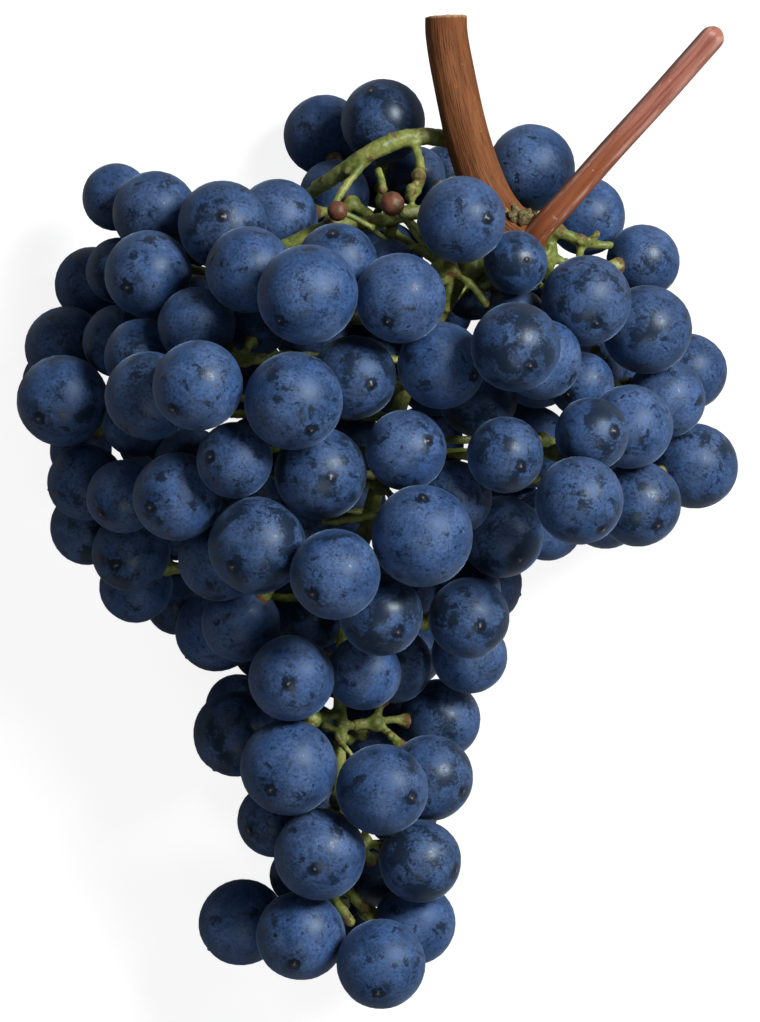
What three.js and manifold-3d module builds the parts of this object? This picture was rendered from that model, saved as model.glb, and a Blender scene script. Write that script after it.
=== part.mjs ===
// A bunch of blue grapes, cut with a piece of its cane and one leaf stalk, lying on a surface.
//
// Millimetres, +Z up. The surface is z = 0, the cut cane points along +Y, the tail of the bunch
// along -Y, and the shoulders spread along X. The origin is under the middle of the whole bunch.
//
// The berries are listed by the sprig that they hang on. They start at their listed places and
// are then settled, so that no two of them, and no berry and stem, take the same space.

import * as THREE from 'three';
import { mergeVertices } from 'three/addons/utils/BufferGeometryUtils.js';
import Module from 'manifold-3d';

const wasm = await Module();
wasm.setup();

// ---------------------------------------------------------------- driving sizes

const BUNCH_WIDTH = 138; // over the shoulders, along X
const BUNCH_LENGTH = 177; // shoulder to tail, berries only, along Y
const BUNCH_DEPTH = 81; // surface to the highest berry, along Z
const BERRY_DIAMETER = 16; // an average berry
const FLAT_SHARE = 0.9342; // a resting berry's centre height, as a share of its radius

const RACHIS_DIAMETER = 4.2; // main stem of the bunch, at its thick end
const RACHIS_END_DIAMETER = 2.4;
const ARM_DIAMETER = 3.7; // the two bare arms above the left shoulder
const ARM_END_DIAMETER = 2.8;
const LATERAL_DIAMETER = 2.2; // side stem from the main stem to a sprig
const RIGHT_BRANCH_DIAMETER = 3.2; // bare branch beside the leaf stalk
const NODE_SPUR_DIAMETER = 5; // stump below the node
const TWIG_DIAMETER = 1.9;
const DRY_TWIG_DIAMETER = 2.4;
const PEDICEL_DIAMETER = 1.9; // berry stalk
const RECEPTACLE_DIAMETER = 2.4; // swollen end of a berry stalk
const HUB_DIAMETER = 4; // knot where the stalks of one sprig meet
const HUB_DEPTH = 10; // from the middle of a sprig's berries in to its hub

const CANE_DIAMETER = 7.9; // at the cut
const CANE_NODE_DIAMETER = 9.2; // at the node where the stalks leave
const LEAF_STALK_DIAMETER = 4.7;
const LEAF_STALK_BASE_DIAMETER = 6.4;
const SHOT_BERRY_DIAMETER = 4.4; // unripe berry that never grew
const SHOT_STALK_DIAMETER = 1.2;
const BUD_LENGTH = 5.2;
const BUD_DIAMETER = 3.4;

const GAP = 0.3; // clearance between two pieces

// The places below are written for a bunch of this size.
const DRAWN_WIDTH = 138;
const DRAWN_LENGTH = 177;
const DRAWN_DEPTH = 81;
const DRAWN_BERRY = 16;

// ---------------------------------------------------------------- places

// Every berry as x, y, height of its centre, diameter.
const FRONT_SPRIGS = {
  left_shoulder_top: [[-50.6, 60.6, 19, 13], [-43, 57.3, 32, 16], [-30, 54.8, 45, 17]],
  left_shoulder_outer: [[-44, 45.3, 43, 16.5], [-50, 46.5, 24, 12.5], [-55.3, 44, 11, 14.5]],
  left_side_upper: [[-60, 31.8, 20, 15.5], [-50, 32.5, 31, 14], [-45, 30, 44, 14.5]],
  left_front: [
    [-43.5, 22.5, 57, 17], [-34.5, 24, 71, 17], [-34.8, 35.8, 52, 14.5], [-23.5, 35.5, 43, 11.5],
  ],
  left_side: [[-60, 20.8, 33, 17.5], [-62.5, 25.5, 8, 12.5], [-57.5, 12, 12, 12]],
  left_side_lower: [[-56.3, 6.5, 32, 14.5], [-46.5, 17.5, 38, 13], [-47.6, 3.8, 43, 14]],
  left_middle: [[-38.3, 3.2, 56, 16.8], [-37.3, 8.5, 40, 14], [-27.4, 10, 66, 14.5]],
  left_waist_outer: [[-55.4, -3.3, 20, 14.5], [-47.5, -7.5, 33, 15], [-47.2, -13.4, 19, 14]],
  left_waist_front: [[-30.2, -8.8, 46, 16], [-22.7, -5.7, 62, 18.4], [-26.5, -21, 37, 15]],
  left_waist_low: [[-38.8, -17, 10, 13], [-31, -22.1, 21, 16]],
  tail_left_upper: [[-26, -35, 10, 12.5], [-27.3, -42.1, 23, 16.5]],
  top_front: [[-25.1, 45.8, 58, 16.5], [-13.6, 41.2, 73, 18.8], [-8, 46.8, 56, 15.5]],
  top_left: [[-19.4, 55.6, 32, 15.5], [-9, 61, 16, 13.5], [-10.3, 71.9, 11, 15.5]],
  top_middle: [[1.3, 74, 23, 16.2], [-1.5, 63, 11, 11], [-5, 54, 10, 12.5]],
  top_right: [[5.5, 63.5, 19, 11.5], [12.5, 65, 11, 12], [12, 56, 21, 12]],
  under_cane: [[15.9, 55.4, 55, 16.5], [3.9, 40.6, 67, 17.2], [1.5, 46.5, 43, 11.5]],
  heart_upper: [[-4.6, 25.7, 58, 16], [-16.2, 21.1, 73, 18.6], [12, 28, 58, 16.6]],
  heart_right: [[25.7, 31.3, 71, 17], [30.8, 29.3, 55, 15.5], [18.8, 22, 45, 15]],
  below_node: [[25.6, 48.3, 47, 12.2], [26.3, 37, 42, 12.5], [18, 43, 26, 12]],
  right_of_cane: [[29, 66, 27, 16.8], [39.6, 57, 18, 15.2], [22, 58.5, 13, 12]],
  right_shoulder: [[38.7, 40.1, 46, 17.2], [51, 35, 35, 17.2], [50.5, 48.3, 25, 14]],
  right_tip_upper: [[59.4, 27.2, 12, 14.8], [54.8, 22, 26, 15.2], [38.5, 24.5, 38, 12.5]],
  right_front: [[47.6, 16.4, 48, 16], [40.2, 14.9, 61, 14], [37.7, 2.4, 70, 16.8]],
  right_tip_lower: [[60.5, 9, 18, 16.4], [49.3, 1.8, 39, 16.4]],
  heart_lower_right: [[23.8, 11, 62, 14.5], [14, 3, 52, 14.5]],
  right_waist: [[23, -4.6, 42, 15.6], [31.8, -2.2, 31, 13.6]],
  heart_lower: [[-10.8, 7.3, 61, 17.5], [4.3, 11.5, 60, 15.4], [7.6, -4.5, 67, 19.2]],
  waist_middle: [[-8, -11.3, 70, 17], [0.2, -19.2, 57, 15.8], [-3, -30.5, 40, 14.2]],
  waist_right: [[17, -19.9, 48, 15.4], [16, -27, 28, 14.5], [17, -15, 35, 13]],
  tail_right_upper: [[4, -29, 26, 14.6], [10, -40.3, 15, 15.6], [9.6, -51, 29, 16.5]],
  tail_left: [[-16.8, -31.4, 49, 16.4], [-17.1, -48.4, 44, 18.5]],
  tail_right: [[0.3, -52.6, 44, 17.5], [7.8, -65.8, 33, 15.8], [-1, -70, 13, 13]],
  tail_tip_right: [[6.6, -78.6, 23, 15.8], [0.2, -86, 37, 17]],
  tail_middle: [[-11.4, -65.1, 39, 17.6], [-20, -58.8, 26, 14.4], [-15.5, -70, 16, 12]],
  tail_tip_left: [[-15, -80.8, 31, 17.2], [-26, -78.3, 17, 16.4]],
  core_left: [[-33, 40.5, 29, 14], [-13.5, 36, 29, 15]],
  core_middle: [[2, 50, 28.5, 14], [0, 25.5, 28, 15]],
  core_right: [[30, 27, 22, 14.5]],
  core_lower: [[-15, -3, 28.5, 15], [-13, -18.5, 21.5, 15.2]],
};

// The berries that the bunch lies on are wavy rows along X: y, first x, last x, berry count.
const UNDERSIDE_ROWS = [
  [51, -37, -22, 2],
  [39, -39, 45, 6],
  [26, -43, 44, 6],
  [13, -42, 45, 6],
  [1, -40, 43, 6],
  [-13, -24, 19, 4],
  [-27, -20, 4, 3],
  [-43, -13, -1, 2],
  [-57, -12, 3, 2],
  [-77, -8, -8, 1],
];
const UNDERSIDE_BERRY = 14.8;
const UNDERSIDE_VARIATION = 1.3; // diameters swing this much about UNDERSIDE_BERRY
const UNDERSIDE_HEIGHT = 7.6;
const UNDERSIDE_WAVE = 2; // the rows swing this much along Y
const UNDERSIDE_SWAY = 1.2; // this much along X
const UNDERSIDE_LIFT = 1.2; // and this much up, so that only some of the berries touch
const ROW_PHASE = 2.3; // how far each row's waves run ahead of the row before
const WAVE_RATES = { along: 4.1, across: 1.9, up: 2.7, size: 5.3 };
const BERRIES_IN_A_SPRIG = 4;

const MAIN_STEM = [
  [27.5, 52, 38], [21, 48, 37], [14, 42, 37], [8, 32, 38], [3, 18, 38], [-1, 3, 37],
  [-5, -13, 34], [-7.5, -30, 29], [-7.5, -45, 27], [-8, -57, 25], [-6, -72, 22],
];
// What leaves the main stem besides the side stems: thick end, thin end, and the bend's points.
const BRANCHES = {
  upper_arm: {
    thick: ARM_DIAMETER,
    thin: ARM_END_DIAMETER,
    points: [
      [22, 51, 36], [22, 58, 33], [20, 65, 32.5], [16.5, 70, 33.5], [11, 71.6, 34.5],
      [5, 71.4, 36], [-1, 68.9, 37], [-7, 65, 34], [-12, 62, 28.5], [-16, 59, 22],
    ],
  },
  lower_arm: {
    thick: ARM_DIAMETER,
    thin: ARM_END_DIAMETER,
    points: [
      [18, 46, 37], [14.5, 53, 38], [9, 57.5, 40], [3, 56.4, 42], [-3, 55, 42.5],
      [-9, 54.8, 42.5], [-14, 52.8, 42], [-20, 50, 41], [-27, 46, 39],
    ],
  },
  arm_twig: {
    thick: TWIG_DIAMETER,
    thin: TWIG_DIAMETER,
    points: [[-3, 66.8, 36.5], [-6, 63, 38.5], [-8.3, 59.4, 40.4], [-9.4, 55.6, 42]],
  },
  dry_twig: {
    thick: TWIG_DIAMETER,
    thin: DRY_TWIG_DIAMETER,
    points: [[6.6, 71, 36], [7.7, 66.5, 38.5], [7.8, 63, 40], [5.4, 59.6, 41]],
  },
  right_branch: {
    thick: RIGHT_BRANCH_DIAMETER,
    thin: TWIG_DIAMETER,
    points: [[27, 52, 38], [31, 53.4, 39], [35, 53.4, 39], [39, 51.6, 38], [44.5, 51, 36]],
  },
  node_spur: {
    thick: NODE_SPUR_DIAMETER,
    thin: DRY_TWIG_DIAMETER,
    points: [[27.5, 53, 39], [31, 50.5, 40], [32, 47, 38], [32, 44, 36]],
  },
};
const CANE = [
  [13, 94.5, 38], [13.3, 90, 38.2], [15.1, 80, 38.8], [17.4, 70, 39.4], [20.6, 61, 40],
  [24, 55.6, 40], [27.4, 53, 39.5],
];
const LEAF_STALK = [
  [29, 51.5, 41.5], [31.6, 54.6, 44], [36.4, 59.8, 46], [45, 69.4, 48.5], [55, 80.4, 50.5],
  [63.4, 89.9, 52],
];
// A bud's x, y, height of its middle and lean in degrees.
const BUDS = [[26.6, 57.2, 43.6, 25], [24.6, 57.4, 43.2, -20], [28.6, 56.6, 44.4, 60]];
// The middle of each shot berry, and the foot of its stalk.
const SHOT_BERRIES = {
  shot_berry_left: [[-7.7, 57.1, 48.5], [-1.4, 54.4, 46.4]],
  shot_berry_right: [[2.7, 58.5, 48.5], [8.6, 50.6, 43.5]],
};

// ---------------------------------------------------------------- materials

const finish = (color, roughness) => new THREE.MeshStandardMaterial({ color, roughness, metalness: 0 });
const BERRY_SKIN = finish(0x3a4c78, 0.55);
const GREEN_STEM = finish(0x8a8c42, 0.7);
const CANE_BARK = finish(0x9c6a44, 0.8);
const LEAF_STALK_SKIN = finish(0xa8706a, 0.6);
const BUD_SCALE = finish(0x6e6238, 0.8);
const SHOT_SKIN = finish(0x8a4c38, 0.6);

// ---------------------------------------------------------------- places at this size

const WIDEN = BUNCH_WIDTH / DRAWN_WIDTH;
const LENGTHEN = BUNCH_LENGTH / DRAWN_LENGTH;
const DEEPEN = BUNCH_DEPTH / DRAWN_DEPTH;
const BERRY_GROWTH = BERRY_DIAMETER / DRAWN_BERRY;

const place = ([x, y, z]) => new THREE.Vector3(x * WIDEN, y * LENGTHEN, z * DEEPEN);
const smoothPath = (points) => new THREE.CatmullRomCurve3(points.map(place));

function berryAt(row) {
  const [x, y, z, diameter] = row;
  const home = place([x, y, z]);
  return { home, centre: home.clone(), radius: (diameter / 2) * BERRY_GROWTH };
}

function undersideBerry(row, i) {
  const [y, first, last, count] = UNDERSIDE_ROWS[row];
  const pitch = count > 1 ? (last - first) / (count - 1) : 0;
  const swing = (rate) => Math.sin(rate * (i + 1) + ROW_PHASE * row);
  const x = first + i * pitch + UNDERSIDE_SWAY * swing(WAVE_RATES.along);
  const height = UNDERSIDE_HEIGHT + UNDERSIDE_LIFT * (1 + swing(WAVE_RATES.up));
  const diameter = UNDERSIDE_BERRY + UNDERSIDE_VARIATION * swing(WAVE_RATES.size);
  return [x, y + UNDERSIDE_WAVE * swing(WAVE_RATES.across), height, diameter];
}

function undersideSprigs() {
  const sprigs = {};
  UNDERSIDE_ROWS.forEach(([, , , count], row) => {
    for (let start = 0; start < count; start += BERRIES_IN_A_SPRIG) {
      const size = Math.min(BERRIES_IN_A_SPRIG, count - start);
      const side = start === 0 ? 'left' : 'right';
      const berries = Array.from({ length: size }, (_, i) => undersideBerry(row, start + i));
      sprigs[`underside_${row + 1}_${side}`] = berries;
    }
  });
  return sprigs;
}

// ---------------------------------------------------------------- settling

const ROUNDS = 700;
const HOMEWARD_ROUNDS = 420; // the pull towards the listed places fades out over these
const PULL_SIDEWAYS = 0.2;
const PULL_HEIGHT = 0.05;
const STALK_ROOM = 0.15; // the settling keeps this much more than GAP beside stems
const DEEPEST_HUB = 0.6; // a hub goes in no further than this share of the way to the main stem
const NEAR = 45; // stalks whose hubs are further apart than this can't meet
const HUB_PULL = 0.1;
const HUB_YIELD = 0.9; // a hub gives way more than a berry does
const STALK_YIELD = 0.7;

const STEM_SIDES = 6;
const MAIN_STEM_STEPS = 22;
const STEPS_PER_POINT = 1.3;
const CANE_SIDES = 12;
const CANE_STEPS = 9;
const LEAF_STALK_SIDES = 8;
const LEAF_STALK_STEPS = 8;
const LEAF_STALK_FLARE = 0.2; // share of the stalk's length that its swollen base takes

const mainStem = smoothPath(MAIN_STEM);
const PROBE_COUNT = 60;
const MAIN_STEM_PROBES = mainStem.getSpacedPoints(PROBE_COUNT);

// Where a sprig's side stem leaves the main stem: a little nearer to the cane than the sprig is.
const BRANCH_SLOPE = 0.35;
function rootOnMainStem(hub) {
  const away = (point) => point.distanceTo(hub) + BRANCH_SLOPE * Math.abs(point.y - hub.y);
  const sorted = [...MAIN_STEM_PROBES].sort((a, b) => away(a) - away(b));
  return sorted[0];
}

function hubTarget(sprig) {
  const middle = new THREE.Vector3();
  sprig.berries.forEach((berry) => middle.add(berry.centre));
  middle.divideScalar(sprig.berries.length);
  const inward = rootOnMainStem(middle).clone().sub(middle);
  const depth = Math.min(HUB_DEPTH, inward.length() * DEEPEST_HUB);
  return middle.add(inward.setLength(depth));
}

function stemSegments(curve, startRadius, endRadius, count) {
  const points = curve.getSpacedPoints(count);
  return points.slice(1).map((end, i) => {
    const radius = THREE.MathUtils.lerp(startRadius, endRadius, (i + 0.5) / count);
    return { start: points[i], end, radius };
  });
}

function nearestOnSegment(segment, point) {
  const along = segment.end.clone().sub(segment.start);
  const share = point.clone().sub(segment.start).dot(along) / along.lengthSq();
  const t = THREE.MathUtils.clamp(share, 0, 1);
  return { t, point: segment.start.clone().addScaledVector(along, t) };
}

// The two nearest points of two segments, found by stepping from one to the other and back.
const NEAREST_STEPS = 6;
function nearestOfTwo(one, two) {
  let onOne = one.start.clone().lerp(one.end, 0.5);
  let onTwo = nearestOnSegment(two, onOne).point;
  for (let step = 0; step < NEAREST_STEPS; step += 1) {
    onOne = nearestOnSegment(one, onTwo).point;
    onTwo = nearestOnSegment(two, onOne).point;
  }
  return { onOne, onTwo };
}

// The two moves that bring two points to the wanted distance, or null where they are that far.
function pushApart(from, to, wanted, shareFrom, shareTo) {
  const line = to.clone().sub(from);
  const distance = line.length();
  if (distance >= wanted || distance === 0) {
    return null;
  }
  line.multiplyScalar((wanted - distance) / distance);
  return { from: line.clone().multiplyScalar(-shareFrom), to: line.multiplyScalar(shareTo) };
}

function settle(sprigs, fixedStems) {
  const berries = sprigs.flatMap((sprig) => sprig.berries);
  sprigs.forEach((sprig) => {
    sprig.hub = hubTarget(sprig);
    sprig.berries.forEach((berry) => {
      berry.sprig = sprig;
    });
  });
  for (let round = 0; round < ROUNDS; round += 1) {
    const pull = Math.max(0, 1 - round / HOMEWARD_ROUNDS);
    berries.forEach((berry) => {
      const home = berry.home.clone().sub(berry.centre);
      berry.centre.x += home.x * PULL_SIDEWAYS * pull;
      berry.centre.y += home.y * PULL_SIDEWAYS * pull;
      berry.centre.z += home.z * PULL_HEIGHT * pull;
    });
    spreadBerries(berries);
    placeHubs(sprigs, berries, pull);
    clearFixedStems(berries, fixedStems);
    clearStalks(sprigs, berries);
    berries.forEach((berry) => {
      berry.centre.z = Math.max(berry.centre.z, berry.radius * FLAT_SHARE);
    });
  }
}

function spreadBerries(berries) {
  for (let i = 0; i < berries.length; i += 1) {
    for (let j = i + 1; j < berries.length; j += 1) {
      const wanted = berries[i].radius + berries[j].radius + GAP;
      const push = pushApart(berries[i].centre, berries[j].centre, wanted, 0.5, 0.5);
      if (push) {
        berries[i].centre.add(push.from);
        berries[j].centre.add(push.to);
      }
    }
  }
}

function placeHubs(sprigs, berries, pull) {
  const hubRadius = HUB_DIAMETER / 2;
  sprigs.forEach((sprig) => {
    sprig.hub.lerp(hubTarget(sprig), HUB_PULL * pull);
    berries.forEach((berry) => {
      const wanted = berry.radius + hubRadius + GAP + STALK_ROOM;
      const push = pushApart(berry.centre, sprig.hub, wanted, 1 - HUB_YIELD, HUB_YIELD);
      if (push) {
        berry.centre.add(push.from);
        sprig.hub.add(push.to);
      }
    });
    sprig.hub.z = Math.max(sprig.hub.z, HUB_DIAMETER);
    sprig.root = rootOnMainStem(sprig.hub);
  });
}

function clearFixedStems(berries, fixedStems) {
  berries.forEach((berry) => {
    fixedStems.forEach((segment) => {
      const nearest = nearestOnSegment(segment, berry.centre);
      const wanted = berry.radius + segment.radius + GAP + STALK_ROOM;
      const push = pushApart(nearest.point, berry.centre, wanted, 0, 1);
      if (push) {
        berry.centre.add(push.to);
      }
    });
  });
}

// Each sprig's berry stalks and its side stem, as segments that its hub carries along.
function stalksOf(sprig) {
  const stalks = sprig.berries.map((berry) => {
    const inwards = sprig.hub.clone().sub(berry.centre).setLength(berry.radius);
    const end = berry.centre.clone().add(inwards);
    return { sprig, berry, start: sprig.hub, end, radius: RECEPTACLE_DIAMETER / 2 };
  });
  const lateral = LATERAL_DIAMETER / 2;
  stalks.push({ sprig, berry: null, start: sprig.hub, end: sprig.root, radius: lateral });
  return stalks;
}

function clearStalks(sprigs, berries) {
  const stalks = sprigs.flatMap(stalksOf);
  stalks.forEach((stalk) => {
    berries.forEach((berry) => {
      const own = stalk.berry && berry.sprig === stalk.sprig;
      if (own || berry.centre.distanceTo(stalk.start) > NEAR) {
        return;
      }
      const nearest = nearestOnSegment(stalk, berry.centre);
      const wanted = berry.radius + stalk.radius + GAP + STALK_ROOM;
      const push = pushApart(nearest.point, berry.centre, wanted, STALK_YIELD, 1 - STALK_YIELD);
      if (push) {
        berry.centre.add(push.to);
        stalk.sprig.hub.add(push.from);
      }
    });
  });
  for (let i = 0; i < stalks.length; i += 1) {
    for (let j = i + 1; j < stalks.length; j += 1) {
      const one = stalks[i];
      const two = stalks[j];
      const bothLaterals = !one.berry && !two.berry;
      if (one.sprig === two.sprig || bothLaterals || one.start.distanceTo(two.start) > NEAR) {
        continue;
      }
      const { onOne, onTwo } = nearestOfTwo(one, two);
      const wanted = one.radius + two.radius + GAP + STALK_ROOM;
      const push = pushApart(onOne, onTwo, wanted, 0.5, 0.5);
      if (push) {
        one.sprig.hub.add(push.from);
        two.sprig.hub.add(push.to);
      }
    }
  }
}

// ---------------------------------------------------------------- solids

function toSolid(geometry) {
  const bare = geometry.clone();
  bare.deleteAttribute('normal');
  bare.deleteAttribute('uv');
  const merged = mergeVertices(bare);
  const mesh = new wasm.Mesh({
    numProp: 3,
    vertProperties: new Float32Array(merged.attributes.position.array),
    triVerts: new Uint32Array(merged.index.array),
  });
  return new wasm.Manifold(mesh);
}

function toGeometry(solid) {
  const mesh = solid.getMesh();
  const geometry = new THREE.BufferGeometry();
  geometry.setAttribute('position', new THREE.BufferAttribute(new Float32Array(mesh.vertProperties), 3));
  geometry.setIndex(new THREE.BufferAttribute(new Uint32Array(mesh.triVerts), 1));
  geometry.computeVertexNormals();
  return geometry;
}

const joined = (solids) => solids.reduce((whole, solid) => whole.add(solid));
const cutBy = (solid, cutters) => cutters.reduce((rest, cutter) => rest.subtract(cutter), solid);

// The largest body of a solid: what a cut has separated from the rest falls away.
function largestBody(solid) {
  const bodies = solid.decompose();
  return bodies.reduce((best, body) => (body.volume() > best.volume() ? body : best));
}

// A berry is a ball of flat faces with one face turned down, which is what it rests on.
const FACE_DIRECTION = new THREE.Vector3(1, 1, 1).normalize();
const DOWN = new THREE.Vector3(0, 0, -1);
const FACE_DOWN = new THREE.Quaternion().setFromUnitVectors(FACE_DIRECTION, DOWN);
const GOLDEN_TURN = 2.39996;

function ball(centre, radius, detail, turn) {
  const geometry = new THREE.IcosahedronGeometry(radius, detail);
  geometry.applyQuaternion(FACE_DOWN);
  geometry.rotateZ(turn);
  geometry.translate(centre.x, centre.y, centre.z);
  return toSolid(geometry);
}

function knot(centre, radius) {
  const geometry = new THREE.OctahedronGeometry(radius, 0);
  geometry.translate(centre.x, centre.y, centre.z);
  return toSolid(geometry);
}

// A straight stem from one point to another, tapered.
function stick(start, end, startRadius, endRadius, sides) {
  const along = end.clone().sub(start);
  const geometry = new THREE.CylinderGeometry(endRadius, startRadius, along.length(), sides);
  geometry.translate(0, along.length() / 2, 0);
  const turn = new THREE.Quaternion().setFromUnitVectors(new THREE.Vector3(0, 1, 0), along.normalize());
  geometry.applyQuaternion(turn);
  geometry.translate(start.x, start.y, start.z);
  return toSolid(geometry);
}

// A bent stem: a round section swept along a curve, then thinned ring by ring.
function bentStem(curve, startRadius, endRadius, sides, steps) {
  const circle = new THREE.Shape();
  for (let i = 0; i < sides; i += 1) {
    const angle = (i / sides) * 2 * Math.PI;
    const corner = new THREE.Vector2(Math.cos(angle), Math.sin(angle));
    if (i === 0) {
      circle.moveTo(corner.x, corner.y);
    } else {
      circle.lineTo(corner.x, corner.y);
    }
  }
  const geometry = new THREE.ExtrudeGeometry(circle, { steps, extrudePath: curve, curveSegments: 1 });
  const rings = curve.getSpacedPoints(steps);
  const positions = geometry.attributes.position;
  const corner = new THREE.Vector3();
  for (let i = 0; i < positions.count; i += 1) {
    corner.fromBufferAttribute(positions, i);
    let ring = 0;
    rings.forEach((point, index) => {
      if (point.distanceTo(corner) < rings[ring].distanceTo(corner)) {
        ring = index;
      }
    });
    const radius = THREE.MathUtils.lerp(startRadius, endRadius, ring / steps);
    corner.sub(rings[ring]).multiplyScalar(radius).add(rings[ring]);
    positions.setXYZ(i, corner.x, corner.y, corner.z);
  }
  return toSolid(geometry);
}

const STALK_SIDES = 3;
const LATERAL_SIDES = 4;
const SINK = 1.2; // how far a berry stalk's swollen end reaches into its berry

function stalkSolid(sprig, berry, extra) {
  const inwards = sprig.hub.clone().sub(berry.centre).setLength(berry.radius - SINK);
  const end = berry.centre.clone().add(inwards);
  const thin = PEDICEL_DIAMETER / 2 + extra;
  const thick = RECEPTACLE_DIAMETER / 2 + extra;
  return stick(sprig.hub, end, thin, thick, STALK_SIDES);
}

function sprigSolid(sprig) {
  const berries = sprig.berries.map((berry, i) => ball(berry.centre, berry.radius, 1, i * GOLDEN_TURN));
  const stalks = sprig.berries.map((berry) => stalkSolid(sprig, berry, 0));
  return joined([...berries, ...stalks, knot(sprig.hub, HUB_DIAMETER / 2)]);
}

// What the side stems keep clear of: a sprig's berries, hub and stalks, each a gap larger.
function sprigClearance(sprig) {
  const berries = sprig.berries.map((berry) => ball(berry.centre, berry.radius + GAP, 1, 0));
  const stalks = sprig.berries.map((berry) => stalkSolid(sprig, berry, GAP));
  return joined([...berries, ...stalks, knot(sprig.hub, HUB_DIAMETER / 2 + GAP)]);
}

function lateralSolid(sprig) {
  const length = sprig.hub.distanceTo(sprig.root) - HUB_DIAMETER / 2 - 2 * GAP;
  const end = sprig.hub.clone().sub(sprig.root).setLength(length).add(sprig.root);
  return stick(sprig.root, end, LATERAL_DIAMETER / 2, LATERAL_DIAMETER / 2, LATERAL_SIDES);
}

const branches = Object.values(BRANCHES).map(({ thick, thin, points }) => ({
  curve: smoothPath(points),
  start: thick / 2,
  end: thin / 2,
  steps: Math.round(points.length * STEPS_PER_POINT),
}));
const caneCurve = smoothPath(CANE);
const leafStalkCurve = smoothPath(LEAF_STALK);

function caneSolid(extra) {
  const cutEnd = CANE_DIAMETER / 2 + extra;
  const node = CANE_NODE_DIAMETER / 2 + extra;
  return bentStem(caneCurve, cutEnd, node, CANE_SIDES, CANE_STEPS);
}

function leafStalkSolid(extra) {
  const base = LEAF_STALK_BASE_DIAMETER / 2 + extra;
  const tip = LEAF_STALK_DIAMETER / 2 + extra;
  const neck = leafStalkCurve.getPointAt(LEAF_STALK_FLARE);
  const flare = stick(leafStalkCurve.getPointAt(0), neck, base, tip, LEAF_STALK_SIDES);
  const stem = bentStem(leafStalkCurve, tip, tip, LEAF_STALK_SIDES, LEAF_STALK_STEPS);
  return joined([stem, flare, ball(leafStalkCurve.getPointAt(1), tip, 1, 0)]);
}

function rachisSolid(sprigs) {
  const thick = RACHIS_DIAMETER / 2;
  const main = bentStem(mainStem, thick, RACHIS_END_DIAMETER / 2, STEM_SIDES, MAIN_STEM_STEPS);
  const branchSolids = branches.map(({ curve, start, end, steps }) => (
    bentStem(curve, start, end, STEM_SIDES, steps)
  ));
  const whole = joined([main, ...branchSolids, ...sprigs.map(lateralSolid)]);
  const kept = cutBy(whole, [caneSolid(GAP), leafStalkSolid(GAP), ...sprigs.map(sprigClearance)]);
  return largestBody(kept);
}

// A bud's outline as shares of its radius and length.
const BUD_PROFILE = [[0, -0.5], [0.55, -0.4], [1, -0.05], [0.6, 0.35], [0, 0.5]];
const BUD_SIDES = 7;

function budSolid() {
  const buds = BUDS.map(([x, y, z, lean]) => {
    const outline = BUD_PROFILE.map(([r, h]) => new THREE.Vector2(r * BUD_DIAMETER / 2, h * BUD_LENGTH));
    const geometry = new THREE.LatheGeometry(outline, BUD_SIDES);
    geometry.rotateZ(THREE.MathUtils.degToRad(-lean));
    const middle = place([x, y, z]);
    geometry.translate(middle.x, middle.y, middle.z);
    return toSolid(geometry);
  });
  return joined(buds);
}

function shotBerrySolid(ends) {
  const [berry, foot] = ends.map(place);
  const stalk = stick(foot, berry, SHOT_STALK_DIAMETER / 2, SHOT_STALK_DIAMETER / 2, STALK_SIDES);
  return joined([ball(berry, SHOT_BERRY_DIAMETER / 2, 1, 0), stalk]);
}

// ---------------------------------------------------------------- the bunch

const sprigs = Object.entries({ ...FRONT_SPRIGS, ...undersideSprigs() }).map(([name, rows]) => ({
  name: `sprig_${name}`,
  berries: rows.map(berryAt),
}));

const fixedStems = [
  ...stemSegments(mainStem, RACHIS_DIAMETER / 2, RACHIS_END_DIAMETER / 2, MAIN_STEM_STEPS),
  ...branches.flatMap(({ curve, start, end, steps }) => stemSegments(curve, start, end, steps)),
  ...stemSegments(caneCurve, CANE_DIAMETER / 2, CANE_NODE_DIAMETER / 2, CANE_STEPS),
  ...stemSegments(leafStalkCurve, LEAF_STALK_DIAMETER / 2, LEAF_STALK_DIAMETER / 2, LEAF_STALK_STEPS),
];
settle(sprigs, fixedStems);

const solids = [];
sprigs.forEach((sprig) => solids.push([sprig.name, sprigSolid(sprig), BERRY_SKIN]));
solids.push(['rachis', rachisSolid(sprigs), GREEN_STEM]);
solids.push(['cane', caneSolid(0), CANE_BARK]);
solids.push(['leaf_stalk', largestBody(leafStalkSolid(0).subtract(caneSolid(GAP))), LEAF_STALK_SKIN]);
solids.push(['buds', largestBody(cutBy(budSolid(), [caneSolid(GAP), leafStalkSolid(GAP)])), BUD_SCALE]);
Object.entries(SHOT_BERRIES).forEach(([name, ends]) => {
  solids.push([name, shotBerrySolid(ends), SHOT_SKIN]);
});

// The origin goes under the middle of the whole bunch, with the lowest faces on the surface.
const box = new THREE.Box3();
const geometries = solids.map(([name, solid, material]) => {
  const geometry = toGeometry(solid);
  geometry.computeBoundingBox();
  box.union(geometry.boundingBox);
  return [name, geometry, material];
});
const middle = box.getCenter(new THREE.Vector3());

const group = new THREE.Group();
geometries.forEach(([name, geometry, material]) => {
  geometry.translate(-middle.x, -middle.y, -box.min.z);
  const mesh = new THREE.Mesh(geometry, material);
  mesh.name = name;
  group.add(mesh);
});

export default group;
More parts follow.
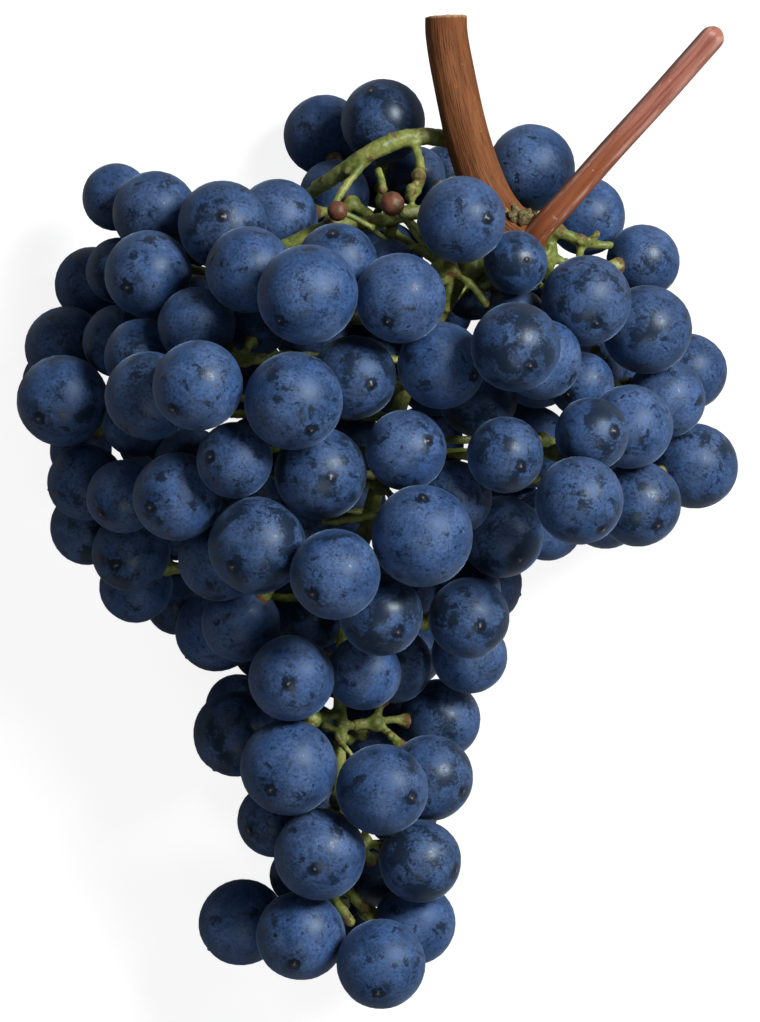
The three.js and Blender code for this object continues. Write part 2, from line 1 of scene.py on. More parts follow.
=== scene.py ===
# %% [markdown]
# # A bunch of blue wine grapes
#
# A bunch is a tree of green stems that ends in berries. The frame holds the exact places: each
# sprig of one to four berries, the main stem with its arms, the cane it grew on, one leaf stalk,
# a tuft of buds and two shot berries. Here every one of them gets its real surface: round,
# slightly pressed berries with a rubbed bloom, warty green stems, fibrous bark and a grooved
# stalk. All lengths are metres, and the bunch lies on the floor at z = 0 with its cut cane
# towards +Y.

import math
import random

import bmesh
import bpy
import numpy as np
from mathutils import Matrix, Vector, noise


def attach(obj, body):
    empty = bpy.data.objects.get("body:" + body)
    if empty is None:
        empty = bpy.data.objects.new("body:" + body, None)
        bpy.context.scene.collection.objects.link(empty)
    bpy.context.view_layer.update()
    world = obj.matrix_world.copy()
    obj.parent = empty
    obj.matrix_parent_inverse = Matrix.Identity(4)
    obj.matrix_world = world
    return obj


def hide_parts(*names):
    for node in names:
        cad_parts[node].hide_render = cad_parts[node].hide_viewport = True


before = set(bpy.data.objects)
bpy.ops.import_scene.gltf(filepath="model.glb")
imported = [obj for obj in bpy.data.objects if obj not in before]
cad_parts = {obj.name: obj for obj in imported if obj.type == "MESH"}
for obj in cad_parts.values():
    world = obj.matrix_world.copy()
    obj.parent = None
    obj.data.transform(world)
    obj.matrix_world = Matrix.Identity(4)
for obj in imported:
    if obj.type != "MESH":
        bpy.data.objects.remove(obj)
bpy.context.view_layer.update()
MM = 0.001

# %% [markdown]
# ## Camera
#
# The bunch lies on its back and is looked at from straight above. A long lens far away shows
# low and high berries at nearly the same scale, as a product photographer would want it.

# %% Camera
PICTURE_LENGTH = 194.2 * MM  # what the height of the picture spans
PICTURE_LEVEL = 50 * MM  # the height above the floor at which it spans that much
PICTURE_MIDDLE = (0.4 * MM, 0.1 * MM)
CAMERA_DISTANCE = 3.0
SENSOR = 36.0

camera_data = bpy.data.cameras.new("camera")
camera_data.sensor_fit = "VERTICAL"
camera_data.sensor_height = SENSOR
camera_data.lens = SENSOR * CAMERA_DISTANCE / PICTURE_LENGTH
camera = bpy.data.objects.new("camera", camera_data)
camera.location = (*PICTURE_MIDDLE, PICTURE_LEVEL + CAMERA_DISTANCE)
bpy.context.scene.collection.objects.link(camera)
bpy.context.scene.camera = camera
print("lens", round(camera_data.lens), "mm at", CAMERA_DISTANCE, "m")

# %% [markdown]
# ## Light
#
# One broad softbox above the right gives each berry its soft sheen and leaves its lower left in
# shade. A weaker one beyond the tail reaches the narrow end, and a third just lifts the far
# side. The world adds only a little, so that the gaps between the berries stay deep.

# %% Lights
scene = bpy.context.scene
scene.view_settings.view_transform = "Standard"
LIGHT_DISTANCE = 2.4
SKY_LIGHT = 0.06  # how strongly the world lights the bunch
SKY_SEEN = 0.92  # how bright it looks behind everything


def softbox(name, direction, size, power):
    """A square area light that faces the middle of the bunch."""
    data = bpy.data.lights.new(name, "AREA")
    data.size = size
    data.energy = power
    light = bpy.data.objects.new(name, data)
    aim = Vector(direction).normalized()
    light.location = aim * LIGHT_DISTANCE + Vector((0, 0, PICTURE_LEVEL))
    light.rotation_euler = aim.to_track_quat("Z", "Y").to_euler()
    scene.collection.objects.link(light)


softbox("key_light", (0.58, 0.40, 0.70), 0.85, 90)
softbox("tail_light", (0.1, -0.55, 0.83), 1.2, 12)
softbox("fill_light", (-0.45, 0.35, 0.82), 1.6, 2.5)

world = bpy.data.worlds.new("studio")
world.use_nodes = True
scene.world = world
sky = world.node_tree
sky_light = sky.nodes["Background"]
sky_light.inputs["Color"].default_value = (0.8, 0.85, 1.0, 1)
sky_light.inputs["Strength"].default_value = SKY_LIGHT
sky_seen = sky.nodes.new("ShaderNodeBackground")
sky_seen.inputs["Color"].default_value = (SKY_SEEN, SKY_SEEN, SKY_SEEN, 1)
seen = sky.nodes.new("ShaderNodeLightPath")
either = sky.nodes.new("ShaderNodeMixShader")
sky.links.new(seen.outputs["Is Camera Ray"], either.inputs[0])
sky.links.new(sky_light.outputs[0], either.inputs[1])
sky.links.new(sky_seen.outputs[0], either.inputs[2])
sky.links.new(either.outputs[0], sky.nodes["World Output"].inputs["Surface"])

# %% [markdown]
# ## Small helpers for shaders
#
# Every material below is a handful of nodes. `fill` gives a node's sockets either a number or
# another node's output, and `add` makes a node and fills it, so a material reads from top to
# bottom.

# %% Shader helpers
def fill(tree, node, sockets):
    """Gives each input, by name or number, a value or a link from an output."""
    for key, value in sockets.items():
        if isinstance(value, bpy.types.NodeSocket):
            tree.links.new(value, node.inputs[key])
        else:
            node.inputs[key].default_value = value


def add(tree, kind, sockets=None, **settings):
    """One shader node with its settings made and its sockets filled."""
    made = tree.nodes.new("ShaderNode" + kind)
    for key, value in settings.items():
        setattr(made, key, value)
    fill(tree, made, sockets or {})
    return made


def arithmetic(tree, operation, one, two):
    """The result of two values or outputs, kept between 0 and 1."""
    made = add(tree, "Math", {0: one, 1: two}, operation=operation, use_clamp=True)
    return made.outputs[0]


def ramp(tree, value, low, high, start=0.0, end=1.0):
    """A value's stretch from low to high, spread smoothly over start to end."""
    made = add(tree, "MapRange", {"Value": value, "From Min": low, "From Max": high,
                                  "To Min": start, "To Max": end},
               interpolation_type="SMOOTHSTEP")
    return made.outputs["Result"]


def blend(tree, share, one, two):
    """Colour one where share is 0, colour two where it is 1."""
    made = add(tree, "Mix", {0: share, 6: one, 7: two}, data_type="RGBA")
    return made.outputs[2]


# Turned after it is stretched, so that the noise's own grid doesn't line up with the piece.
OUT_OF_LINE = (0.5, 0.7, 0.3)


def times(tree, one, two):
    """The product of two values or outputs, kept between 0 and 1."""
    return arithmetic(tree, "MULTIPLY", one, two)


def cover(tree, surface, mask, share, layer):
    """A surface's colour with another laid over it where the mask is, at most by share."""
    return blend(tree, times(tree, mask, share), surface, layer)


def grain(tree, where, size, detail=2.0, roughness=0.5, stretch=None):
    """Noise whose lumps are about size metres across."""
    if stretch:
        where = add(tree, "Mapping", {"Vector": where, "Scale": stretch,
                                      "Rotation": OUT_OF_LINE}).outputs[0]
    made = add(tree, "TexNoise", {"Vector": where, "Scale": 1 / size, "Detail": detail,
                                  "Roughness": roughness})
    return made.outputs["Fac"]


def new_material(name):
    """A material with its Principled BSDF, and the tree that both are in."""
    material = bpy.data.materials.new(name)
    material.use_nodes = True
    tree = material.node_tree
    return material, tree, tree.nodes["Principled BSDF"]


def bump(tree, height, strength, distance):
    """The normal of a surface raised by height, at most by distance in metres."""
    made = add(tree, "Bump", {"Height": height, "Strength": strength, "Distance": distance})
    return made.outputs["Normal"]


def colour(red, green, blue):
    """A colour for a socket."""
    return (red, green, blue, 1.0)


print("helpers ready")

# %% [markdown]
# ## Two shared effects
#
# Specks and ragged patches turn up on every surface of a plant: flecks where the bloom is
# missing, pale pores on bark, brown freckles on a stem, and larger rubbed or stained places. So
# each is a node group, built once, and a material sets its size and how much of it there is.

# %% Speck and patch groups
# The level that the noise has to pass, with none and with the full amount.
SPECK_LEVELS = {"To Min": 0.86, "To Max": 0.5}
PATCH_LEVELS = {"To Min": 0.78, "To Max": 0.3}
SPECK_EDGE = 0.06  # how soft the edge of a speck is
FINER = 9.0  # how much finer a patch's ragged edge is than the patch


def effect_group(name, inputs):
    """An empty node group with a vector, some numbers, and one mask that comes out."""
    group = bpy.data.node_groups.new(name, "ShaderNodeTree")
    group.interface.new_socket("Vector", in_out="INPUT", socket_type="NodeSocketVector")
    for key, value in inputs.items():
        socket = group.interface.new_socket(key, in_out="INPUT", socket_type="NodeSocketFloat")
        socket.default_value = value
    group.interface.new_socket("Mask", in_out="OUTPUT", socket_type="NodeSocketFloat")
    return group, group.nodes.new("NodeGroupInput").outputs, group.nodes.new("NodeGroupOutput")


specks, given, result = effect_group("specks", {"Scale": 1000.0, "Amount": 0.3})
fleck = add(specks, "TexNoise", {"Vector": given["Vector"], "Scale": given["Scale"],
                                 "Detail": 1.5, "Roughness": 0.55, "Distortion": 0.6})
threshold = add(specks, "MapRange", {"Value": given["Amount"], **SPECK_LEVELS})
softer = add(specks, "Math", {0: threshold.outputs[0], 1: SPECK_EDGE}, operation="ADD")
mask = add(specks, "MapRange", {"Value": fleck.outputs["Fac"], "From Min": threshold.outputs[0],
                                "From Max": softer.outputs[0]})
specks.links.new(mask.outputs[0], result.inputs["Mask"])

patches, given, result = effect_group("patches", {"Scale": 200.0, "Amount": 0.3, "Ragged": 0.1,
                                                  "Softness": 0.14})
shape = add(patches, "TexNoise", {"Vector": given["Vector"], "Scale": given["Scale"],
                                  "Detail": 2.0, "Roughness": 0.5, "Distortion": 0.4})
finer_scale = add(patches, "Math", {0: given["Scale"], 1: FINER}, operation="MULTIPLY")
edge = add(patches, "TexNoise", {"Vector": given["Vector"], "Scale": finer_scale.outputs[0],
                                 "Detail": 3.0, "Roughness": 0.7})
swing = add(patches, "Math", {0: edge.outputs["Fac"], 1: 0.5}, operation="SUBTRACT")
swing = add(patches, "Math", {0: swing.outputs[0], 1: given["Ragged"]}, operation="MULTIPLY")
outline_noise = add(patches, "Math", {0: shape.outputs["Fac"], 1: swing.outputs[0]})
threshold = add(patches, "MapRange", {"Value": given["Amount"], **PATCH_LEVELS})
softer = add(patches, "Math", {0: threshold.outputs[0], 1: given["Softness"]}, operation="ADD")
mask = add(patches, "MapRange", {"Value": outline_noise.outputs[0],
                                 "From Min": threshold.outputs[0],
                                 "From Max": softer.outputs[0]}, interpolation_type="SMOOTHSTEP")
patches.links.new(mask.outputs[0], result.inputs["Mask"])


def effect(tree, group, where, **values):
    """A shared effect placed in a material with its own values."""
    return add(tree, "Group", {"Vector": where, **values}, node_tree=group).outputs["Mask"]


print("groups", [g.name for g in bpy.data.node_groups])

# %% [markdown]
# ## Berry skin
#
# The skin is nearly black. What looks blue is the bloom, a powder of wax that scatters light.
# It is thick on most of the berry, thinner in a fine mottle, full of dark flecks, wiped away in
# patches where berries rub or were touched, and missing around the scar at the berry's end.
# Where berries meet it is also thinned as painted shade, so the skin darkens between them.
# So the material mixes two finishes by one mask, the thickness of the bloom: glossy black skin
# and dull light blue wax. The mesh brings three attributes: the distance from the scar in
# millimetres, how close the neighbouring berry presses, which drives both real rubbing and
# painted shade between berries, and a random tone for each berry.

# %% Berry skin
BARE_SKIN = colour(0.004, 0.007, 0.015)
RUBBED_SKIN = colour(0.008, 0.016, 0.032)
COOL_BLOOM = colour(0.034, 0.088, 0.235)
PALE_BLOOM = colour(0.070, 0.130, 0.285)
DULL_BLOOM = colour(0.036, 0.074, 0.170)
DUST = colour(0.42, 0.55, 0.78)
SCAR_TIP = colour(0.150, 0.105, 0.045)

berry_skin, tree, shader = new_material("berry_skin")
here = add(tree, "TexCoord").outputs["Object"]
from_scar = add(tree, "Attribute", attribute_name="from_scar").outputs["Fac"]
# Where a neighbour touches: real rubbing of the bloom, and painted shade between berries.
contact_rub_and_shade = add(tree, "Attribute", attribute_name="contact_rub_and_shade").outputs["Fac"]
tone = add(tree, "Attribute", attribute_name="tone").outputs["Fac"]

mottle = ramp(tree, grain(tree, here, 0.6 * MM, 5.0, 0.72), 0.3, 0.64, 0.42, 1.0)
cloud = ramp(tree, grain(tree, here, 4.0 * MM, 3.0, 0.6), 0.34, 0.62, 0.62, 1.0)
scuffs = ramp(tree, grain(tree, here, 0.4 * MM, 3.0, 0.6, stretch=(0.55, 1.0, 0.7)), 0.56, 0.7,
              0.0, 0.3)
flecks = effect(tree, specks, here, Scale=1 / (0.8 * MM), Amount=0.56)
dots = effect(tree, specks, here, Scale=1 / (1.7 * MM), Amount=0.42)
rub_amount = ramp(tree, tone, 0.0, 1.0, 0.38, 0.70)
rubbed = effect(tree, patches, here, Scale=1 / (5.5 * MM), Amount=rub_amount, Ragged=0.5,
                Softness=0.2)
blotches = effect(tree, patches, here, Scale=1 / (2.8 * MM), Amount=0.38, Ragged=0.35,
                  Softness=0.12)
near_scar = ramp(tree, from_scar, 1.5, 6.5, 1.0, 0.0)
worn = effect(tree, patches, here, Scale=1 / (1.8 * MM), Amount=0.64, Ragged=0.7, Softness=0.2)
worn = times(tree, worn, near_scar)
wobble = add(tree, "Math", {0: grain(tree, here, 0.9 * MM, 2.0), 1: 1.8}, operation="MULTIPLY")
ragged_scar = add(tree, "Math", {0: from_scar, 1: wobble.outputs[0]}, operation="SUBTRACT")
around_scar = ramp(tree, ragged_scar.outputs[0], 0.1, 0.9, 1.0, 0.0)

wiped_and_contact_shade = arithmetic(tree, "MAXIMUM", rubbed, times(tree, worn, 0.75))
wiped_and_contact_shade = arithmetic(tree, "MAXIMUM", wiped_and_contact_shade, blotches)
# Painted shade: near each touching neighbour the bloom is thinned, darkening the skin where
# berries meet, on top of real rubbing.
wiped_and_contact_shade = arithmetic(tree, "MAXIMUM", wiped_and_contact_shade, times(tree, contact_rub_and_shade, 0.85))
film = times(tree, mottle, cloud)
film = times(tree, film, ramp(tree, wiped_and_contact_shade, 0, 1, 1.0, 0.07))
film = arithmetic(tree, "SUBTRACT", film, scuffs)
film = times(tree, film, ramp(tree, flecks, 0, 1, 1.0, 0.3))
film = times(tree, film, ramp(tree, dots, 0, 1, 1.0, 0.15))
# From here the bloom mask holds the real bloom and the painted shade where berries meet.
bloom = times(tree, film, ramp(tree, around_scar, 0, 1, 1.0, 0.05))

wax = blend(tree, ramp(tree, grain(tree, here, 7.0 * MM, 1.0), 0.35, 0.65), COOL_BLOOM,
            PALE_BLOOM)
wax = blend(tree, ramp(tree, tone, 0.0, 1.0, 0.0, 0.5), wax, DULL_BLOOM)
skin = blend(tree, wiped_and_contact_shade, BARE_SKIN, RUBBED_SKIN)
surface = blend(tree, bloom, skin, wax)
dust = effect(tree, specks, here, Scale=1 / (0.9 * MM), Amount=0.16)
surface = cover(tree, surface, dust, 0.5, DUST)
tip = ramp(tree, from_scar, 0.14, 0.32, 1.0, 0.0)
relief = arithmetic(tree, "ADD", times(tree, bloom, 0.5), times(tree, mottle, 0.5))
fill(tree, shader, {
    "Base Color": blend(tree, tip, surface, SCAR_TIP),
    "Roughness": ramp(tree, bloom, 0.0, 1.0, 0.34, 0.62),
    "Normal": bump(tree, relief, 0.35, 0.06 * MM),
    "IOR": 1.42,
    "Specular Tint": colour(0.75, 0.88, 1.0),
    "Sheen Weight": 0.3,
    "Sheen Roughness": 0.3,
    "Sheen Tint": colour(0.42, 0.64, 1.0),
})
print("berry skin nodes", len(tree.nodes))

# %% [markdown]
# ## Green stem
#
# Living stems are yellow-green with a faint lengthwise streak and brown freckles. Around every
# joint, and in the swollen seat under each berry, corky brown warts break through. The mesh
# marks those places with the attribute `corky`, from 0 to 1.

# %% Green stem
STEM_GREEN = colour(0.115, 0.158, 0.026)
STEM_YELLOW = colour(0.290, 0.310, 0.075)
CORK = colour(0.130, 0.050, 0.020)
DARK_CORK = colour(0.028, 0.014, 0.008)

green_stem, tree, shader = new_material("green_stem")
here = add(tree, "TexCoord").outputs["Object"]
corky = add(tree, "Attribute", attribute_name="corky").outputs["Fac"]
body = blend(tree, ramp(tree, grain(tree, here, 3.2 * MM, 3.0, 0.6), 0.34, 0.66), STEM_GREEN,
             STEM_YELLOW)
fibre = ramp(tree, grain(tree, here, 0.5 * MM, 3.0, 0.6), 0.35, 0.7, 0.72, 1.08)
body = add(tree, "Mix", {0: 1.0, 6: body, 7: fibre}, data_type="RGBA", blend_type="MULTIPLY")
freckles = effect(tree, specks, here, Scale=1 / (1.1 * MM), Amount=0.34)
cork_amount = ramp(tree, corky, 0.0, 1.0, 0.0, 0.95)
cork = effect(tree, patches, here, Scale=1 / (1.3 * MM), Amount=cork_amount, Ragged=0.5)
dark = effect(tree, specks, here, Scale=1 / (0.8 * MM), Amount=0.5)
corked = blend(tree, dark, CORK, DARK_CORK)
surface = cover(tree, body.outputs[2], freckles, 0.75, CORK)
surface = cover(tree, surface, cork, 0.9, corked)
relief = arithmetic(tree, "ADD", times(tree, cork, 0.6), times(tree, fibre, 0.4))
fill(tree, shader, {
    "Base Color": surface,
    "Roughness": ramp(tree, cork, 0.0, 1.0, 0.5, 0.85),
    "Normal": bump(tree, relief, 0.5, 0.15 * MM),
})
print("green stem nodes", len(tree.nodes))

# %% [markdown]
# ## Cane bark
#
# One-year-old cane is covered in long fibres that split into ridges. The pattern has to run
# along the bent cane, so the mesh carries the attribute `straight`: where each point would be
# if the cane were straight, with its length along Z. Noise squeezed in that space gives fibres.

# %% Cane bark
BARK_LIGHT = colour(0.215, 0.078, 0.026)
BARK_MIDDLE = colour(0.135, 0.044, 0.013)
BARK_DARK = colour(0.045, 0.016, 0.005)
BARK_PALE = colour(0.45, 0.27, 0.13)
RIM_START = -0.7 * MM  # where along the cane the pale rim of the cut begins
RIM_FULL = 0.9 * MM  # how long it stays pale, and where it is gone
RIM_GONE = 1.4 * MM

cane_bark, tree, shader = new_material("cane_bark")
along = add(tree, "Attribute", attribute_name="straight").outputs["Vector"]
here = add(tree, "TexCoord").outputs["Object"]
fibre = grain(tree, along, 0.26 * MM, 3.0, 0.6, stretch=(1.0, 1.0, 0.06))
broad = grain(tree, along, 2.0 * MM, 2.0, 0.5, stretch=(1.0, 1.0, 0.12))
surface = blend(tree, ramp(tree, broad, 0.32, 0.68), BARK_MIDDLE, BARK_LIGHT)
surface = blend(tree, ramp(tree, fibre, 0.50, 0.34, 0.0, 0.7), surface, BARK_DARK)
pores = effect(tree, specks, along, Scale=1 / (0.8 * MM), Amount=0.34)
surface = cover(tree, surface, pores, 0.6, colour(0.42, 0.26, 0.13))
level = add(tree, "SeparateXYZ", {0: along}).outputs["Z"]
from_rim = add(tree, "Math", {0: level, 1: -RIM_START}).outputs[0]
rim = ramp(tree, from_rim, RIM_FULL, RIM_GONE, 0.8, 0.0)
surface = cover(tree, surface, rim, ramp(tree, fibre, 0.3, 0.6), BARK_PALE)
pits = effect(tree, specks, here, Scale=1 / (1.6 * MM), Amount=0.26)
surface = cover(tree, surface, pits, 0.8, BARK_DARK)
fill(tree, shader, {"Base Color": surface, "Roughness": 0.75,
                     "Specular IOR Level": 0.2,
                     "Normal": bump(tree, fibre, 0.8, 0.35 * MM)})

cut_wood, tree, shader = new_material("cut_wood")
along = add(tree, "Attribute", attribute_name="straight").outputs["Vector"]
flat = add(tree, "Mapping", {"Vector": along, "Scale": (1, 1, 0)}).outputs[0]
rays = grain(tree, flat, 0.5 * MM, 3.0, 0.6)
surface = blend(tree, ramp(tree, rays, 0.3, 0.7), colour(0.30, 0.17, 0.08),
                colour(0.62, 0.45, 0.27))
out = add(tree, "VectorMath", {0: flat}, operation="LENGTH").outputs["Value"]
surface = blend(tree, ramp(tree, out, 0.8 * MM, 1.2 * MM, 1.0, 0.0), surface,
                colour(0.16, 0.08, 0.035))
fill(tree, shader, {"Base Color": surface, "Roughness": 0.8,
                     "Normal": bump(tree, rays, 0.6, 0.3 * MM)})
print("bark ready")

# %% [markdown]
# ## Leaf stalk skin
#
# The stalk is orange-brown at its foot and pink towards its cut end, with two pale edges along
# a shallow groove. The attribute `straight` gives both the distance along it and the side, since
# its X axis points up at the groove.

# %% Leaf stalk skin
STALK_LENGTH = 50 * MM

leaf_stalk_skin, tree, shader = new_material("leaf_stalk_skin")
along = add(tree, "Attribute", attribute_name="straight").outputs["Vector"]
axes = add(tree, "SeparateXYZ", {0: along}).outputs
streak = grain(tree, along, 0.7 * MM, 3.0, 0.6, stretch=(1.0, 1.0, 0.06))
drift = add(tree, "Math", {0: streak, 1: 20 * MM}, operation="MULTIPLY").outputs[0]
distance = add(tree, "Math", {0: axes["Z"], 1: drift}).outputs[0]
pinker = ramp(tree, distance, 0.55 * STALK_LENGTH, 1.0 * STALK_LENGTH)
surface = blend(tree, pinker, colour(0.235, 0.062, 0.016), colour(0.340, 0.118, 0.080))
surface = blend(tree, ramp(tree, streak, 0.50, 0.34, 0.0, 0.6), surface,
                colour(0.140, 0.030, 0.014))
side = add(tree, "Math", {0: axes["Y"]}, operation="ABSOLUTE").outputs[0]
inner = ramp(tree, side, 1.15 * MM, 1.5 * MM)
outer = ramp(tree, side, 1.7 * MM, 2.1 * MM, 1.0, 0.0)
broken = grain(tree, along, 1.5 * MM, 3.0, 0.7, stretch=(1, 1, 0.2))
edge = times(tree, times(tree, inner, outer), ramp(tree, broken, 0.38, 0.6, 0.1, 0.8))
surface = blend(tree, edge, surface, colour(0.42, 0.24, 0.19))
scales = effect(tree, specks, along, Scale=1 / (0.9 * MM), Amount=0.4)
surface = cover(tree, surface, scales, 0.6, colour(0.50, 0.33, 0.27))
fill(tree, shader, {"Base Color": surface, "Roughness": 0.5,
                     "Normal": bump(tree, streak, 0.5, 0.2 * MM)})
print("leaf stalk skin ready")

# %% [markdown]
# ## Bud scales and shot berries
#
# Bud scales are dry papery leaves, olive inside and brown at their torn tips. Shot berries never
# swelled: they are hard, reddish brown, with a greenish crown.

# %% Bud scale and shot berry skin
bud_scale, tree, shader = new_material("bud_scale")
here = add(tree, "TexCoord").outputs["Object"]
shreds = grain(tree, here, 0.7 * MM, 4.0, 0.7)
surface = blend(tree, ramp(tree, shreds, 0.36, 0.62), colour(0.030, 0.024, 0.008),
                colour(0.200, 0.160, 0.060))
torn = effect(tree, patches, here, Scale=1 / (2.2 * MM), Amount=0.5, Ragged=0.5)
surface = cover(tree, surface, torn, 0.8, colour(0.130, 0.060, 0.026))
fill(tree, shader, {"Base Color": surface, "Roughness": 0.85,
                     "Normal": bump(tree, shreds, 0.8, 0.3 * MM)})

shot_berry_skin, tree, shader = new_material("shot_berry_skin")
here = add(tree, "TexCoord").outputs["Object"]
blush = grain(tree, here, 1.6 * MM, 3.0, 0.6)
surface = blend(tree, ramp(tree, blush, 0.34, 0.66), colour(0.060, 0.026, 0.012),
                colour(0.165, 0.052, 0.024))
crown = effect(tree, patches, here, Scale=1 / (3.0 * MM), Amount=0.4, Ragged=0.4)
surface = cover(tree, surface, crown, 0.8, colour(0.130, 0.110, 0.035))
warts = effect(tree, specks, here, Scale=1 / (0.6 * MM), Amount=0.4)
surface = cover(tree, surface, warts, 0.5, colour(0.040, 0.016, 0.010))
fill(tree, shader, {"Base Color": surface, "Roughness": 0.55,
                     "Normal": bump(tree, blush, 0.5, 0.2 * MM)})
print("materials", sorted(m.name for m in bpy.data.materials))

# %% [markdown]
# ## Where the berries are
#
# A sprig node in the frame is one closed solid: faceted balls joined by straight stalks. Each
# ball's corners lie exactly on a sphere, so a corner and its ring of neighbours give a centre and
# a radius, and the guess counts as a berry when many other corners lie on the same sphere. The
# corners outside every berry belong to the knot where the stalks meet.

# %% Find the berries
TOUCH = 0.02 * MM  # corners this near a sphere lie on it
SMALLEST_BERRY = 4.5 * MM
LARGEST_BERRY = 11 * MM
CORNERS_NEEDED = 22


def merged_copy(name):
    """A CAD node's loose triangles as one bmesh with its shared corners merged."""
    bm = bmesh.new()
    bm.from_mesh(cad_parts[name].data)
    bmesh.ops.remove_doubles(bm, verts=bm.verts, dist=TOUCH / 10)
    return bm


def sphere_through(points):
    """Centre and radius of the sphere that fits the points best."""
    rows = np.hstack([2 * points, np.ones((len(points), 1))])
    answer, *_ = np.linalg.lstsq(rows, (points ** 2).sum(1), rcond=None)
    return answer[:3], math.sqrt(max(0.0, answer[3] + answer[:3] @ answer[:3]))


def berries_of(name):
    """The berries of a sprig as (centre, radius), and the knot where its stalks meet."""
    bm = merged_copy(name)
    corners = np.array([v.co for v in bm.verts])
    middle = corners.mean(0)
    corners = corners - middle
    bm.verts.ensure_lookup_table()
    free = np.ones(len(corners), bool)
    found = []
    for vert in bm.verts:
        ring = [vert.index] + [e.other_vert(vert).index for e in vert.link_edges]
        if not free[ring].all() or len(ring) < 6:
            continue
        centre, radius = sphere_through(corners[ring])
        distance = np.linalg.norm(corners - centre, axis=1)
        on_it = abs(distance - radius) < TOUCH
        if SMALLEST_BERRY < radius < LARGEST_BERRY and on_it.sum() >= CORNERS_NEEDED:
            free &= ~on_it
            found.append((Vector(centre + middle), radius))
    outside = [Vector(c + middle) for c in corners
               if all((Vector(c + middle) - p).length > r + TOUCH for p, r in found)]
    bm.free()
    return found, sum(outside, Vector()) / len(outside)


sprigs = {}
for name in sorted(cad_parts):
    if name.startswith("sprig_"):
        found, knot = berries_of(name)
        sprigs[name] = {"berries": found, "knot": knot}
all_berries = [berry for sprig in sprigs.values() for berry in sprig["berries"]]
print(len(all_berries), "berries on", len(sprigs), "sprigs, mean diameter in mm",
      round(sum(r for _, r in all_berries) * 2 / MM / len(all_berries), 1))

# %% [markdown]
# ## Where the scars are
#
# At the end away from its stalk, each berry keeps the dry foot of the flower's style. Scars
# mostly face outwards and down the bunch. The best seen ones are listed, as the point
# (x, y) over which the scar lies; all others follow the rule.

# %% Scars
# Points (x, y) in mm.
SEEN_SCARS = [
    (-20.5, -53), (-12, -68), (-16, -86.5), (0, -91.7), (6.5, -54.5), (16.5, -53.5), (15, -68.5),
    (-27.5, -10.5), (-12.5, 15.3), (-9, 6.2), (-1.2, 24), (-43, 0.8), (-38.5, 19.3),
    (-31.8, 10.3), (27, 8.5), (42.5, -3.5), (-12.2, -15.5), (8.5, 2.5),
]
SCAR_REACH = 0.95  # how far from a berry's middle a listed point may be, as a share of its radius
SCAR_SWAY = 0.35
SCAR_LEAN = Vector((0, -0.45, 0.1))  # mostly down the bunch, a little upwards


def scar_direction(centre, radius, knot, dice):
    """Where on the berry its scar is, as a direction from its centre."""
    for x, y in SEEN_SCARS:
        offset = Vector((x * MM - centre.x, y * MM - centre.y, 0))
        hidden = any((Vector((x * MM, y * MM, 0)) - Vector((p.x, p.y, 0))).length < r
                     and p.z > centre.z + MM for p, r in all_berries)
        if offset.length < SCAR_REACH * radius and not hidden:
            offset.z = math.sqrt(radius ** 2 - offset.length_squared)
            return offset.normalized()
    outwards = (centre - knot).normalized()
    sway = Vector((dice.uniform(-1, 1), dice.uniform(-1, 1), dice.uniform(-1, 1)))
    return (outwards + SCAR_SWAY * sway + SCAR_LEAN).normalized()


print(len(SEEN_SCARS), "scars placed by hand")

# %% [markdown]
# ## One berry
#
# A berry is an outline spun about the axis through its scar. Near the scar the outline is close
# to flat, with a ring-shaped dent and a small tip; elsewhere it is a circle. The spun shape is
# kept as one mesh of radius 1 and copied into every sprig, where it gets its own size and turn,
# broad lumps, and flat places where neighbours and the floor press on it.

# %% Spin the berry
BERRY_STEPS = 32
BERRY_ROWS = 17
SCAR_EDGE = 12.5
# Degrees from the scar, and the distance from the berry's middle there.
SCAR_OUTLINE = [(0, 1.012), (1.4, 1.008), (3.0, 0.988), (7.0, 0.984), (SCAR_EDGE, 0.994)]


def spin_berry():
    """The berry of radius 1 with its scar on +Z."""
    rows = SCAR_OUTLINE + [(SCAR_EDGE + (180 - SCAR_EDGE) * i / (BERRY_ROWS - 1), 1.0)
                           for i in range(1, BERRY_ROWS)]
    bm = bmesh.new()
    verts = []
    for degrees, reach in rows:
        angle = math.radians(degrees)
        verts.append(bm.verts.new((reach * math.sin(angle), 0, reach * math.cos(angle))))
    edges = [bm.edges.new(pair) for pair in zip(verts, verts[1:])]
    bmesh.ops.spin(bm, geom=verts + edges, axis=(0, 0, 1), cent=(0, 0, 0), dvec=(0, 0, 0),
                   angle=2 * math.pi, steps=BERRY_STEPS, use_merge=True)
    bmesh.ops.remove_doubles(bm, verts=bm.verts, dist=1e-4)
    bmesh.ops.recalc_face_normals(bm, faces=bm.faces)
    mesh = bpy.data.meshes.new("spun_berry")
    bm.to_mesh(mesh)
    bm.free()
    return mesh


spun_berry = spin_berry()
print("faces of one berry", len(spun_berry.polygons))

# %% Shape a berry in its place
SWELL = 0.03 * MM  # how far the skin lies outside the frame's ball
LUMP = 0.016  # the broad lumps, as a share of the radius
RUB_AND_SHADE_FADE = 1.3 * MM  # how far from a neighbour's plane the bloom is still thinned, by rubbing and as painted shade
ABOVE_FLOOR = 0.02 * MM


def neighbours_of(centre, radius):
    """The planes where other berries press, as (direction, distance)."""
    planes = []
    for other, reach in all_berries:
        apart = (other - centre).length
        if 0 < apart < radius + reach + 2 * SWELL:
            mine, theirs = radius + SWELL, reach + SWELL
            plane = (apart ** 2 + mine ** 2 - theirs ** 2) / (2 * apart)
            planes.append(((other - centre) / apart, plane))
    return planes


